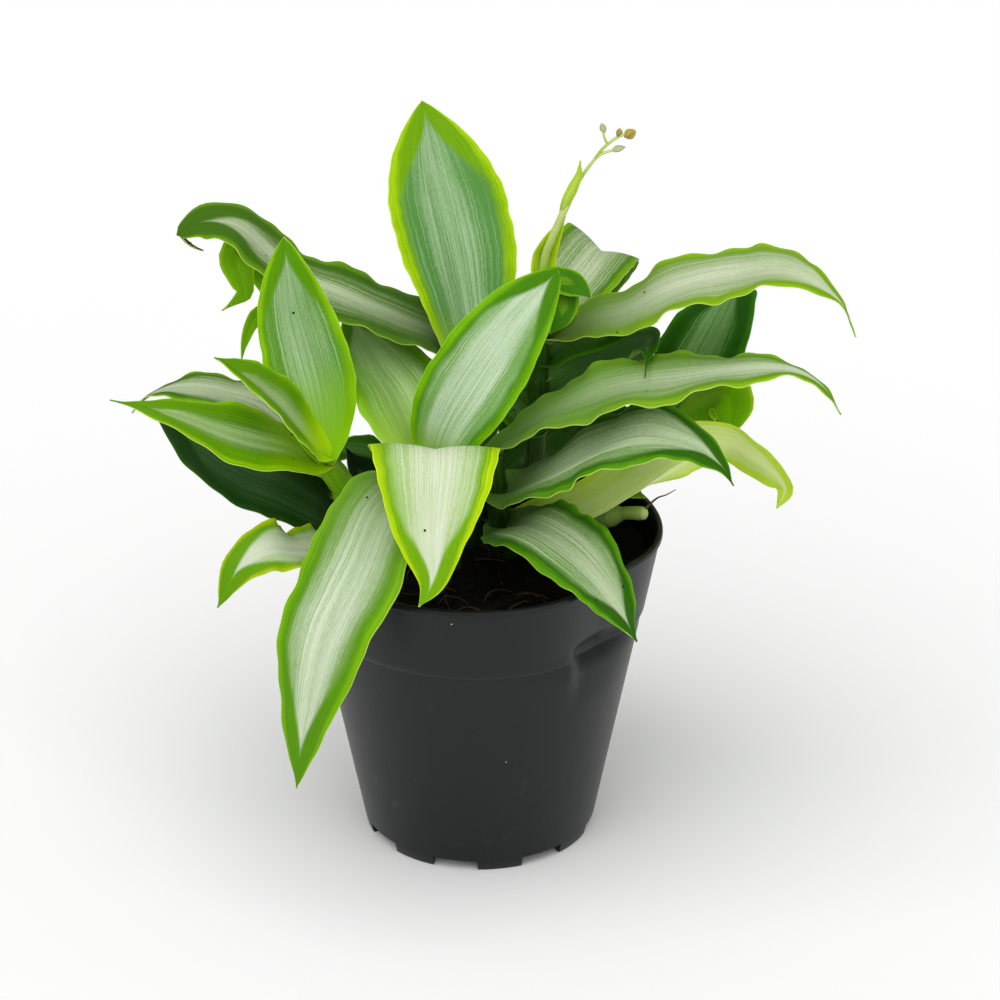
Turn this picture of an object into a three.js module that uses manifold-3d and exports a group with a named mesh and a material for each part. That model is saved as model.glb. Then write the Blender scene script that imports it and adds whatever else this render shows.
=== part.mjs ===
// Potted bright star murdannia: a black nursery pot filled with peat, and seven leafy shoots rooted in it.
// Millimetres, +Z up, -Y towards the front. The origin is under the middle of the pot, on the face its feet
// stand on. Each shoot is one solid: its stem, the sheath at every node and its leaves are grown together.

import * as THREE from 'three';
import { mergeVertices } from 'three/addons/utils/BufferGeometryUtils.js';
import Module from 'manifold-3d';

const wasm = await Module();
wasm.setup();

// Driving dimensions
const POT_HEIGHT = 107;
const RIM_RADIUS = 60;
const BASE_RADIUS = 38;
const WALL = 1.2;
const RIM_HEIGHT = 2;
const RIM_PROUD = 0.7;
const COLLAR_HEIGHT = 27;
const COLLAR_STEP = 0.9;
const FOOT_HEIGHT = 4;
const FOOT_DEPTH = 2.4;
const FOOT_COUNT = 8;
const FIRST_NOTCH_DEG = -102;
const NOTCH_WIDTH = 15;
const FLOOR = 1.5;
const DRAIN_RADIUS = 3.5;
const DRAIN_CIRCLE = 27;
const DENT_DEPTH = 5.5;
const DENT_DEG = -40;
const DENT_SPREAD_DEG = 21;
const DENT_LOW = 74;
const DENT_HIGH = 84;
const CREASE_DEPTH = 3;
const CREASE_FROM_DEG = -57;
const CREASE_TO_DEG = -12;
const CREASE_EDGE_DEG = 8;
const CREASE_LEVEL_DEG = 15;
const CREASE_FOOT = 62;
const CREASE_TOP = 87;
const SOIL_LEVEL = 97;
const GAP = 0.3;
const SOIL_GAP = 0.7;
const ROUND_SEGMENTS = 48;
const STEM_SIDES = 10;
const TWIG_SIDES = 5;
const TWIG_STEPS = 8;
const ROOT_DEPTH = 10;
const BLADE = 0.8;
const TIP_HALF_WIDTH = 0.5;
const SEGMENT_LENGTH = 9.6;
const CLASP_LENGTH = 0.16;
const STEEPEST_FOLD = 76;

const degrees = THREE.MathUtils.degToRad;

// Solids: closed meshes joined and cut

function toSolid(points, triangles) {
  const geometry = new THREE.BufferGeometry();
  const positions = points.flatMap((p) => [p.x, p.y, p.z]);
  geometry.setAttribute('position', new THREE.Float32BufferAttribute(positions, 3));
  geometry.setIndex(triangles.flat());
  return geometryToSolid(geometry);
}

function geometryToSolid(source) {
  const geometry = source.clone();
  geometry.deleteAttribute('normal');
  geometry.deleteAttribute('uv');
  const merged = mergeVertices(geometry, 1e-4);
  const index = merged.index.array;
  const kept = [];
  for (let i = 0; i < index.length; i += 3) {
    const [a, b, c] = [index[i], index[i + 1], index[i + 2]];
    if (a !== b && b !== c && c !== a) kept.push(a, b, c);
  }
  return new wasm.Manifold(new wasm.Mesh({
    numProp: 3,
    vertProperties: new Float32Array(merged.attributes.position.array),
    triVerts: new Uint32Array(kept),
  }));
}

// The largest body of a solid, without the loose scraps that joining can leave
function wholeBody(solid) {
  const bodies = solid.decompose();
  return bodies.reduce((best, body) => (body.volume() > best.volume() ? body : best));
}

function toMesh(name, solid, material) {
  const mesh = wholeBody(solid).getMesh();
  const geometry = new THREE.BufferGeometry();
  geometry.setAttribute('position', new THREE.BufferAttribute(new Float32Array(mesh.vertProperties), 3));
  geometry.setIndex(new THREE.BufferAttribute(new Uint32Array(mesh.triVerts), 1));
  geometry.computeVertexNormals();
  const result = new THREE.Mesh(geometry, material);
  result.name = name;
  return result;
}

// A loft through closed rings that all have the same number of points, with a fan over each end
function loft(rings, first, last) {
  const sides = rings[0].length;
  const points = rings.flat();
  const firstCentre = points.push(first) - 1;
  const lastCentre = points.push(last) - 1;
  const triangles = [];
  for (let i = 0; i + 1 < rings.length; i++) {
    for (let j = 0; j < sides; j++) {
      const a = i * sides + j;
      const b = i * sides + (j + 1) % sides;
      triangles.push([a, b, b + sides], [a, b + sides, a + sides]);
    }
  }
  const top = (rings.length - 1) * sides;
  for (let j = 0; j < sides; j++) {
    const next = (j + 1) % sides;
    triangles.push([firstCentre, next, j], [lastCentre, top + j, top + next]);
  }
  return toSolid(points, triangles);
}

// Pot: a turned profile with notches under the foot ring, drain holes and one dent

const FLOOR_TOP = FOOT_HEIGHT + FLOOR;
const COLLAR_FOOT = POT_HEIGHT - COLLAR_HEIGHT;
const RIM_FOOT = POT_HEIGHT - RIM_HEIGHT;
const COLLAR_TOP_RADIUS = RIM_RADIUS - RIM_PROUD;
const taper = (COLLAR_TOP_RADIUS - COLLAR_STEP - BASE_RADIUS) / RIM_FOOT;

const wallRadius = (z) => BASE_RADIUS + taper * z;
const outerRadius = (z) => wallRadius(z) + (z > COLLAR_FOOT ? COLLAR_STEP : 0);
const innerRadius = (z) => wallRadius(z) - WALL + (z > COLLAR_FOOT ? COLLAR_STEP / 2 : 0);

const collarHeights = [(DENT_LOW + COLLAR_FOOT) / 2, COLLAR_FOOT - 0.4, COLLAR_FOOT + 0.4];
const wallHeights = [CREASE_FOOT, DENT_LOW, ...collarHeights, DENT_HIGH, CREASE_TOP, RIM_FOOT];

// The rim was pushed in at the front right, and from there a crease runs to the right under the collar
function dent(point) {
  const radius = Math.hypot(point.x, point.y);
  if (radius < 1) return point.clone();
  const { smoothstep, radToDeg } = THREE.MathUtils;
  const angle = radToDeg(Math.atan2(point.y, point.x));
  const around = Math.exp(-(((angle - DENT_DEG) / DENT_SPREAD_DEG) ** 2));
  const push = DENT_DEPTH * around * smoothstep(point.z, DENT_LOW, DENT_HIGH);
  const start = smoothstep(angle, CREASE_FROM_DEG, CREASE_FROM_DEG + CREASE_EDGE_DEG);
  const fade = 1 - smoothstep(angle, CREASE_FROM_DEG + CREASE_LEVEL_DEG, CREASE_TO_DEG);
  const below = smoothstep(point.z, CREASE_FOOT, COLLAR_FOOT);
  const above = 1 - smoothstep(point.z, COLLAR_FOOT + 1, CREASE_TOP);
  const crease = CREASE_DEPTH * start * fade * Math.min(below, above);
  const scale = 1 - (push + crease) / RIM_RADIUS;
  return new THREE.Vector3(point.x * scale, point.y * scale, point.z);
}

function turned(profile, firstHeight, lastHeight, height = (x, y, z) => z) {
  const rings = profile.map(([radius, z]) => Array.from({ length: ROUND_SEGMENTS }, (_, k) => {
    const angle = 2 * Math.PI * k / ROUND_SEGMENTS;
    const x = radius * Math.cos(angle);
    const y = radius * Math.sin(angle);
    return dent(new THREE.Vector3(x, y, height(x, y, z)));
  }));
  const first = new THREE.Vector3(0, 0, height(0, 0, firstHeight));
  const last = new THREE.Vector3(0, 0, height(0, 0, lastHeight));
  return loft(rings, first, last);
}

function pot() {
  const outer = wallHeights.map((z) => [outerRadius(z), z]);
  const inner = wallHeights.map((z) => [innerRadius(z), z]).reverse();
  const body = turned([
    [BASE_RADIUS - FOOT_DEPTH, FOOT_HEIGHT],
    [BASE_RADIUS - FOOT_DEPTH, 0],
    [BASE_RADIUS, 0],
    ...outer,
    [RIM_RADIUS, RIM_FOOT + 0.4],
    [RIM_RADIUS, POT_HEIGHT - 0.5],
    [RIM_RADIUS - 0.7, POT_HEIGHT],
    [RIM_RADIUS - 1.9, POT_HEIGHT],
    ...inner,
    [innerRadius(FLOOR_TOP), FLOOR_TOP],
  ], FOOT_HEIGHT, FLOOR_TOP);
  const cuts = Array.from({ length: FOOT_COUNT }, (_, k) => {
    const angle = degrees(FIRST_NOTCH_DEG + 360 * k / FOOT_COUNT);
    const notch = new THREE.BoxGeometry(4 * FOOT_DEPTH, NOTCH_WIDTH, 2 * (FOOT_HEIGHT - 0.2));
    notch.translate(BASE_RADIUS - FOOT_DEPTH / 2, 0, 0);
    const drain = new THREE.CylinderGeometry(DRAIN_RADIUS, DRAIN_RADIUS, 4 * FLOOR, 12);
    drain.rotateX(Math.PI / 2);
    drain.translate(DRAIN_CIRCLE, 0, FOOT_HEIGHT);
    return [notch.rotateZ(angle), drain.rotateZ(angle)];
  }).flat();
  return cuts.reduce((solid, cut) => solid.subtract(geometryToSolid(cut)), body);
}

// Soil: the fill of the pot, with an uneven top and a plain hole round each stem

const crumbs = (x, y) => Math.sin(0.31 * x + 1.3) * Math.cos(0.27 * y) + 0.6 * Math.sin(0.13 * x - 0.19 * y);

function soil(stems) {
  const side = wallHeights.filter((z) => z < SOIL_LEVEL - 1).map((z) => [innerRadius(z) - SOIL_GAP, z]);
  const foot = FLOOR_TOP + GAP;
  const edge = innerRadius(SOIL_LEVEL - 1) - SOIL_GAP;
  const top = [1, 0.78, 0.52, 0.26].map((part) => [edge * part, SOIL_LEVEL]);
  const uneven = (x, y, z) => (z === SOIL_LEVEL ? z + crumbs(x, y) : z);
  const body = turned([[innerRadius(foot) - SOIL_GAP, foot], ...side, ...top], foot, SOIL_LEVEL, uneven);
  return stems.reduce((solid, stem) => solid.subtract(stem), body);
}

// Stems: bent rods of sheaths, each sheath a little wider at its mouth than the next one rising from it

function curveThrough(points) {
  const vectors = points.map((p) => new THREE.Vector3(...p));
  const curve = new THREE.CatmullRomCurve3(vectors, false, 'catmullrom', 0.5);
  curve.arcLengthDivisions = 400;
  return curve;
}

function ringAt(curve, u, radius, sides) {
  const centre = curve.getPointAt(u);
  const along = curve.getTangentAt(u);
  const across = new THREE.Vector3(1, 0.2, 0).cross(along).normalize();
  const third = along.clone().cross(across);
  return Array.from({ length: sides }, (_, k) => {
    const angle = 2 * Math.PI * k / sides;
    return centre.clone()
      .addScaledVector(across, radius * Math.cos(angle))
      .addScaledVector(third, radius * Math.sin(angle));
  });
}

function rod(points, stations, sides) {
  const curve = curveThrough(points);
  const rings = stations.map(([u, radius]) => ringAt(curve, u, radius, sides));
  return loft(rings, curve.getPointAt(stations[0][0]), curve.getPointAt(stations.at(-1)[0]));
}

function rootedPath({ path }) {
  const [x, y, z] = path[0];
  const below = SOIL_LEVEL - ROOT_DEPTH;
  return [[x + (x - path[1][0]) * 0.3, y, below], [x, y, Math.max(z, SOIL_LEVEL - 2)], ...path.slice(1)];
}

function stem(shoot) {
  const [low, high] = shoot.radius;
  const sheaths = shoot.sheaths ?? 3;
  const stations = [[0, low]];
  for (let k = 0; k < sheaths; k++) {
    const start = 0.25 + 0.75 * k / sheaths;
    const end = 0.25 + 0.75 * (k + 1) / sheaths;
    const radius = (u) => low + (high - low) * u;
    stations.push([start + 0.02, radius(start)], [end - 0.02, radius(end) * 1.2]);
  }
  stations.push([1, high * 0.6]);
  return rod(rootedPath(shoot), stations, STEM_SIDES);
}

function stemHole(shoot) {
  const path = rootedPath(shoot);
  const [x, y, z] = path[0];
  path[0] = [x, y, z - GAP];
  const radius = shoot.radius[0] + GAP + 0.1;
  return rod(path, [[0, radius], [0.25, radius], [0.5, radius * 1.1]], STEM_SIDES);
}

// Leaves: a blade carried by its rib, folded along it, rolled about it and waved at its edges

const between = (values, u) => {
  const place = u * (values.length - 1);
  const k = Math.min(Math.floor(place), values.length - 2);
  return values[k] + (values[k + 1] - values[k]) * (place - k);
};

function outline(u, belly, foot, tip) {
  if (u < belly) return foot + (1 - foot) * Math.sin(Math.PI / 2 * u / belly);
  return (1 - ((u - belly) / (1 - belly)) ** 2.1) ** tip;
}

function bladeRow(leaf, curve, u, offsets) {
  const { width, roll = [0, 0], fold = [20, 5], wave = [1.2, 3.5, 0] } = leaf;
  const { belly = 0.42, foot = 0.36, tip = 1.15, clasp = 50 } = leaf;
  const chord = new THREE.Vector3(...leaf.rib.at(-1)).sub(new THREE.Vector3(...leaf.rib[0]));
  const heading = Math.atan2(chord.y, chord.x);
  const along = curve.getTangentAt(u);
  const across = new THREE.Vector3(Math.sin(heading), -Math.cos(heading), 0);
  across.addScaledVector(along, -across.dot(along)).normalize();
  const up = across.clone().cross(along);
  const turn = degrees(between(roll, u));
  const side = across.clone().multiplyScalar(Math.cos(turn)).addScaledVector(up, Math.sin(turn));
  const normal = up.clone().multiplyScalar(Math.cos(turn)).addScaledVector(across, -Math.sin(turn));
  const half = Math.max(TIP_HALF_WIDTH, width / 2 * outline(u, belly, foot, tip));
  const closing = clasp * (1 - Math.min(u / CLASP_LENGTH, 1)) ** 2;
  const rise = degrees(Math.min(between(fold, u) + closing, STEEPEST_FOLD));
  const [depth, count, phase] = wave;
  const strength = depth * Math.sin(Math.PI * u) ** 0.6;
  return offsets.map((x) => {
    const start = phase + (x < 0 ? 0.37 : 0);
    const ripple = strength * x * x * Math.sin(2 * Math.PI * (count * u + start));
    return curve.getPointAt(u)
      .addScaledVector(side, half * x * Math.cos(rise))
      .addScaledVector(normal, half * Math.abs(x) * Math.sin(rise) + ripple);
  });
}

function blade(leaf) {
  const curve = curveThrough(leaf.rib);
  const segments = Math.max(5, Math.round(curve.getLength() / SEGMENT_LENGTH));
  const offsets = [-1, -0.5, 0, 0.5, 1];
  const last = offsets.length - 1;
  const rows = Array.from({ length: segments + 1 }, (_, i) => bladeRow(leaf, curve, i / segments, offsets));
  const facing = (i, j) => {
    const forward = rows[Math.min(i + 1, segments)][j].clone().sub(rows[Math.max(i - 1, 0)][j]);
    const sideways = rows[i][Math.min(j + 1, last)].clone().sub(rows[i][Math.max(j - 1, 0)]);
    return sideways.cross(forward).normalize();
  };
  const shifted = (i, j, by) => rows[i][j].clone().addScaledVector(facing(i, j), by);
  const face = (by) => rows.flatMap((row, i) => row.map((_, j) => shifted(i, j, by)));
  const points = [...face(BLADE / 2), ...face(-BLADE / 2)];
  const under = points.length / 2;
  const at = (i, j) => i * offsets.length + j;
  const triangles = [];
  const rim = (from, to) => triangles.push([from, to, to + under], [from, to + under, from + under]);
  for (let i = 0; i < segments; i++) {
    for (let j = 0; j < last; j++) {
      const [a, b, c, d] = [at(i, j), at(i, j + 1), at(i + 1, j + 1), at(i + 1, j)];
      triangles.push([a, b, c], [a, c, d]);
      triangles.push([a + under, c + under, b + under], [a + under, d + under, c + under]);
    }
    rim(at(i, 0), at(i + 1, 0));
    rim(at(i + 1, last), at(i, last));
  }
  for (let j = 0; j < last; j++) {
    rim(at(0, j + 1), at(0, j));
    rim(at(segments, j), at(segments, j + 1));
  }
  return toSolid(points, triangles);
}

function bud({ centre, length, width, tilt }) {
  const geometry = new THREE.SphereGeometry(1, 8, 6);
  geometry.scale(width / 2, width / 2, length / 2);
  geometry.rotateY(degrees(tilt));
  geometry.translate(...centre);
  return geometryToSolid(geometry);
}

// Shoots: where each stem stands, and each leaf's rib from the stem to its tip

const shoots = [
  {
    name: 'left_shoot',
    path: [[-33, 4, 94], [-40, 0, 109], [-44, -5, 123], [-49, -9, 134]],
    radius: [4, 3],
    leaves: [
      { rib: [[-49, -9, 134], [-51, -5, 153], [-54.5, -1, 168.5], [-58.5, 2, 185], [-61, 2, 207.5]],
        width: 28.5, roll: [30, 50, 50], fold: [15, 8], wave: [0.5, 2.5, 0], belly: 0.42, foot: 0.3,
        tip: 0.85 },
      { rib: [[-49, -8, 132], [-59.5, -16, 142], [-70.5, -22, 148], [-82.5, -26, 154], [-93.5, -28, 159.5],
          [-103.5, -29, 163], [-114.5, -29, 165.5]], width: 27, roll: [15, 25, 20], fold: [10, 0],
        wave: [0.8, 2.5, 0.2], belly: 0.4, tip: 1.9 },
      { rib: [[-49, -10, 136], [-57, -17, 150.5], [-63.5, -22, 161.5], [-72, -26, 172], [-81.5, -29, 180]],
        width: 25, roll: [35, 25], fold: [20, 10], wave: [0.4, 3, 0] },
      { rib: [[-38, 1, 104], [-62, 1, 120.5], [-75, 2, 126], [-88, 5, 132.5], [-98, 8, 140],
          [-107, 12, 146]], width: 27, roll: [25, 30, 30], fold: [5, 0], wave: [0.8, 3, 0], foot: 0.5 },
      { rib: [[-43, -3, 120], [-58, 12, 131], [-71, 20, 140], [-85, 25, 143], [-98, 27, 144],
          [-108, 28, 141], [-114, 28, 135]], width: 26, roll: [0, 5], fold: [10, 5], wave: [1.2, 4, 0.3] },
      { rib: [[-37, 1, 105], [-46, -18, 108], [-57, -32, 114], [-66, -40, 119], [-75, -43, 114],
          [-82, -45, 101]], width: 22, roll: [0, 10, 30, 30], fold: [15, 10], wave: [2.2, 3.5, 0.1] },
    ],
  },
  {
    name: 'front_shoot',
    path: [[-9, -10, 95], [-11, -13, 111], [-14, -15, 124], [-15, -16, 135]],
    radius: [4.2, 3.2],
    leaves: [
      { rib: [[-12, -14, 113], [-21, -30, 134.5], [-29.5, -45, 135.5], [-37, -54, 120.5], [-48, -63, 99],
          [-54, -69, 74], [-57, -72, 51]], width: 37, fold: [10, 0], wave: [0.8, 4.5, 0.2], belly: 0.5 },
      { rib: [[-14, -16, 126], [-14, -34, 148], [-13, -48, 157], [-13, -58, 154], [-14, -66, 139],
          [-14, -71, 124], [-18, -73, 116]], width: 40.5, fold: [12, 0, -4], wave: [0.4, 2.5, 0],
        belly: 0.36, clasp: 30 },
      { rib: [[-15, -16, 132], [-10, -17, 150], [0, -16, 168], [12, -13, 186], [25, -9, 201]], width: 30,
        roll: [-40, -62, -65], fold: [15, 5], wave: [0.7, 3, 0], tip: 0.7 },
      { rib: [[-15, -15, 130], [-24.5, 4, 149], [-31.5, 15, 156], [-39, 27, 163.5], [-44, 35, 169.5]],
        width: 35, fold: [20, 8], wave: [0.6, 3, 0.3] },
    ],
  },
  {
    name: 'middle_shoot',
    path: [[-3, 10, 94], [-3, 12, 115], [-4, 13, 136], [-4, 13, 152]],
    radius: [4.4, 3],
    sheaths: 4,
    leaves: [
      { rib: [[-4, 13, 150], [-3, 19, 165], [-7, 33, 186.5], [-13, 46, 209.5], [-18.5, 58, 232.5]],
        width: 41, fold: [25, 6], wave: [0.6, 3, 0], belly: 0.58, foot: 0.3, tip: 0.9 },
      { rib: [[-4, 13, 149], [-12.5, 19, 164.5], [-25.5, 22, 170], [-41.5, 24, 176], [-57.5, 26, 182.5],
          [-68, 28, 191.5], [-77.5, 30, 200], [-88.5, 31, 201], [-97, 29, 197.5]], width: 30,
        roll: [10, 20, 10, 12, 2, 12, 30], fold: [15, 0], wave: [1, 4.5, 0.1], belly: 0.5, foot: 0.25,
        tip: 0.55 },
      { rib: [[-4, 13, 132], [-17.5, 22, 141.5], [-24.5, 28, 147.5], [-30, 33, 153], [-36, 38, 157.5]],
        width: 18 },
      { rib: [[-3, 12, 109], [-24.5, 14, 110], [-33, 15, 113.5], [-40, 15, 120.5], [-43.5, 15, 128.5]],
        width: 28, roll: [10, 20], fold: [10, 5], wave: [0.5, 2, 0] },
      { rib: [[-4, 13, 118], [-5, 32, 128], [-6, 52, 129], [-8, 70, 116], [-9, 76, 100]], width: 28 },
      { rib: [[-3, 12, 108], [22, 34, 119.5], [35, 34, 128], [44, 33, 132.5], [51.5, 32, 134]], width: 28,
        roll: [-10, -30, -40], wave: [0.6, 3, 0], foot: 0.25 },
    ],
  },
  {
    name: 'flower_shoot',
    path: [[16, 8, 94], [18, 10, 119], [19, 10, 148], [20, 9, 173], [20, 9, 188]],
    radius: [4.2, 2.2],
    sheaths: 5,
    leaves: [
      { rib: [[20, 9, 166], [35.5, 7, 176], [46.5, 4, 180], [57.5, 0, 188], [69.5, -4, 194.5],
          [82, -8, 198.5], [91.5, -12, 202], [99.5, -17, 203], [106, -20, 200.5], [113, -23, 194.5],
          [117, -26, 185.5]], width: 36, roll: [-8, -14, -14, -6, -20, -10], fold: [10, 0],
        wave: [1.3, 4, 0.4], belly: 0.5, tip: 2.8 },
      { rib: [[20, 9, 171], [27, 26, 176], [34, 40, 180.5], [40, 54, 181.5], [42.5, 66, 169],
          [42.5, 72, 154]], width: 30, roll: [-5, -15, -20], fold: [20, 14], wave: [1, 3, 0] },
      { rib: [[19, 9, 187], [19, 4, 192.5], [26, 0, 193.5], [31.5, -4, 193], [35.5, -7, 191]], width: 10,
        roll: [-20, -40], fold: [10, 0], wave: [0.3, 2, 0], belly: 0.6, foot: 0.6 },
      { rib: [[20, 9, 187], [24.5, 1, 189.5], [26.5, -4, 187], [25.5, -7, 183], [22.5, -8, 179]], width: 12,
        roll: [0, 20], fold: [15, 0], wave: [0.4, 2, 0] },
      { rib: [[19, 10, 140], [23.5, 5, 148.5], [33, 8, 153.5], [43.5, 9, 160.5], [51.5, 4, 167.5],
          [53.5, -8, 173], [52, -24, 171]], width: 42, roll: [-35, -40, -35, -22, 0, 0], fold: [10, 5],
        wave: [0.7, 3, 0], belly: 0.25, foot: 0.75, tip: 3 },
      { rib: [[18, 10, 136], [15, 28, 142], [12, 48, 144], [9, 66, 134], [8, 76, 118]], width: 32,
        foot: 0.75 },
      { rib: [[19, 10, 140], [31, 28, 150], [42, 44, 152], [49, 60, 142], [50, 71, 128]], width: 27 },
      { rib: [[20, 9, 186], [20.5, 12.5, 196], [22.5, 12.5, 201.5], [25, 12.5, 206], [27.5, 12.5, 210.5]],
        width: 9.5, roll: [-72, -72], fold: [35, 30], wave: [0, 1, 0], belly: 0.3, foot: 0.8, clasp: 10 },
      { rib: [[26, 10, 211], [27.5, 8.5, 216.5], [29.5, 8.3, 221], [31.5, 8.4, 226], [32, 9, 230.5]],
        width: 3.8, roll: [90, 90], fold: [35, 20], wave: [0, 1, 0], foot: 0.5, clasp: 20 },
    ],
    twigs: [
      { path: [[20, 9, 184], [21, 10.5, 196.5], [23, 10.5, 203], [25, 10.5, 208], [26.5, 10, 212],
        [28.5, 10, 216.5]], radius: [1.6, 1.1] },
      { path: [[27.5, 10, 215], [30.5, 10, 221], [33, 10, 225.5], [36.5, 10, 230.5], [39, 10, 232.5],
        [42, 10, 233.5]], radius: [0.7, 0.45] },
      { path: [[36.5, 10, 230.5], [38.5, 10, 233.5], [40.5, 10, 235.5], [43, 10, 237.5], [46, 10, 239]],
        radius: [0.5, 0.45] },
      { path: [[40.5, 10, 235.5], [39.5, 10, 237.5], [39, 10, 240]], radius: [0.4, 0.35] },
    ],
    buds: [
      { centre: [44, 10, 234], length: 4.4, width: 1.8, tilt: 72 },
      { centre: [47.5, 10, 239], length: 4, width: 3.4, tilt: 60 },
      { centre: [44, 10, 239.5], length: 2.8, width: 1.7, tilt: 10 },
      { centre: [39, 10, 241], length: 3.2, width: 1.8, tilt: -20 },
    ],
  },
  {
    name: 'right_shoot',
    path: [[9, 0, 96], [7, -4, 110], [6, -8, 124], [4, -10, 138]],
    radius: [4.2, 3],
    leaves: [
      { rib: [[4, -10, 135], [13, -14, 147], [26, -18, 157], [44, -22, 166], [63, -24, 170], [81, -26, 174],
          [97, -28, 175], [107, -29, 170], [113, -30, 161]], width: 32, roll: [0, -12, 0, 0], fold: [10, 0],
        wave: [1.3, 5, 0.1], belly: 0.5, tip: 1.8 },
      { rib: [[6, -8, 121], [20, -22, 135], [35, -30, 148], [50.5, -36, 157], [66, -42, 156.5],
          [75, -46, 151], [79, -48, 145]], width: 33, roll: [0, -20, -20, -10], fold: [8, 0],
        wave: [1.3, 4, 0.2], belly: 0.5, foot: 0.55, tip: 1.4 },
      { rib: [[7, -4, 108], [16, -26, 120], [29, -38, 118], [41, -45, 107], [50, -49, 91]], width: 31,
        roll: [-10, -5], fold: [10, 0], wave: [1.1, 4, 0.5] },
      { rib: [[8, -2, 103], [21.5, -6, 109], [36, -9, 114.5], [50, -10, 124], [64.5, -10, 135],
          [77.5, -11, 141.5], [87, -14, 138], [94.5, -17, 133], [97.5, -18, 129], [95, -19, 123]],
        width: 29, roll: [55, 65, 65, 62, 66, 72, 58, 54, 66, 60], fold: [40, 44, 50, 54, 35, 5, 0, 0],
        wave: [0.4, 3, 0], belly: 0.5, foot: 0.6, tip: 1 },
    ],
  },
  {
    name: 'back_right_shoot',
    path: [[36, 29, 94], [42, 29, 108], [47, 29, 122]],
    radius: [4, 3],
    leaves: [
      { rib: [[48, 29, 120], [67, 33, 137.5], [73.5, 38, 151.5], [80, 45, 162.5], [84.5, 54, 168],
          [89, 66, 164.5]], width: 35, roll: [-10, 0], fold: [10, 5], wave: [0.6, 3, 0] },
      { rib: [[46, 29, 114], [57, 27, 125.5], [69, 22, 139.5], [75, 16, 147], [79, 11, 150],
          [81.5, 8, 147.5], [81.5, 7, 143], [81, 7, 137]], width: 25, roll: [0, 0, 0, -25, -60, -70, -70],
        fold: [10, 0], wave: [0.4, 2, 0], belly: 0.5, foot: 0.5, tip: 0.8 },
      { rib: [[43, 29, 109], [48, 46, 118], [54, 63, 113], [58, 76, 98]], width: 28 },
      { rib: [[47, 29, 117], [62, 36, 124], [80, 44, 116], [92, 50, 102]], width: 28 },
    ],
  },
  {
    name: 'back_left_shoot',
    path: [[-18, 28, 96], [-22, 32, 112], [-27, 36, 131]],
    radius: [4, 3],
    leaves: [
      { rib: [[-27, 36, 130], [-52.5, 40, 154], [-63.5, 44, 175.5], [-74, 45, 185.5], [-78.5, 42, 184],
          [-77.5, 39, 178.5], [-76.5, 37, 174], [-79, 37, 171.5], [-84, 36, 168]], width: 18,
        roll: [0, 0, 10, 50, 90, 90, 90, 90], fold: [15, 0], wave: [0.3, 2, 0], belly: 0.6, foot: 0.6,
        tip: 1.4 },
      { rib: [[-26, 35, 126], [-49, 38, 146], [-62, 38, 161], [-70.5, 37, 167], [-74.5, 35, 163.5],
          [-77, 34, 156.5], [-78, 34, 151]], width: 7, roll: [0, 20, 90, 90], fold: [15, 5],
        wave: [0.3, 2, 0], belly: 0.6 },
      { rib: [[-25, 34, 122], [-38, 52, 136], [-54, 66, 136], [-66, 76, 120]], width: 28 },
      { rib: [[-21, 31, 108], [-33, 40, 112], [-46, 46, 112.5], [-62, 50, 105], [-76, 52, 92]], width: 17 },
    ],
  },
];

// The stump of a cut stem leans out over the soil at the right, under the rest of its sheath
const stump = {
  path: [[36, 17, 94], [39, 15, 102], [47, 10, 107], [54.5, 5, 109.5]],
  radius: [3.8, 2.1],
  leaves: [
    { rib: [[39, 15, 102], [44, 13, 110], [48.5, 10, 115], [54, 7, 114]], width: 10, roll: [-20, -30],
      fold: [25, 15], wave: [0.2, 2, 0], belly: 0.5, foot: 0.7 },
  ],
};

function shootSolid(shoot) {
  const pieces = [stem(shoot), ...shoot.leaves.map(blade)];
  for (const twig of shoot.twigs ?? []) {
    const [low, high] = twig.radius;
    const stations = Array.from({ length: TWIG_STEPS + 1 }, (_, k) => k / TWIG_STEPS);
    pieces.push(rod(twig.path, stations.map((u) => [u, low + (high - low) * u]), TWIG_SIDES));
  }
  pieces.push(...(shoot.buds ?? []).map(bud));
  return pieces.reduce((whole, piece) => whole.add(piece));
}

function stumpSolid() {
  const [low, high] = stump.radius;
  const stations = [[0, low], [0.3, low], [0.62, low], [0.75, high], [0.96, high * 1.1], [1, high * 0.7]];
  const pieces = [rod(rootedPath(stump), stations, STEM_SIDES), ...stump.leaves.map(blade)];
  return pieces.reduce((whole, piece) => whole.add(piece));
}

const leafGreen = new THREE.MeshStandardMaterial({ color: 0x5d8f2c, roughness: 0.5, metalness: 0 });
const stumpGreen = new THREE.MeshStandardMaterial({ color: 0x9dbd62, roughness: 0.6, metalness: 0 });
const potPlastic = new THREE.MeshStandardMaterial({ color: 0x2b2f33, roughness: 0.45, metalness: 0 });
const peat = new THREE.MeshStandardMaterial({ color: 0x1d1510, roughness: 0.95, metalness: 0 });

const plant = new THREE.Group();
plant.add(toMesh('pot', pot(), potPlastic));
plant.add(toMesh('soil', soil([...shoots, stump].map(stemHole)), peat));
for (const shoot of shoots) plant.add(toMesh(shoot.name, shootSolid(shoot), leafGreen));
plant.add(toMesh('cut_stump', stumpSolid(), stumpGreen));

export default plant;
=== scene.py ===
# Potted bright star murdannia: the plant's looks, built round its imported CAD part.
# Lengths are in millimetres until a mesh is made, which is in metres. +Z is up and -Y is the front.

import math

import bmesh
import bpy
import numpy as np
from mathutils import Matrix, Vector, noise


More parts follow.
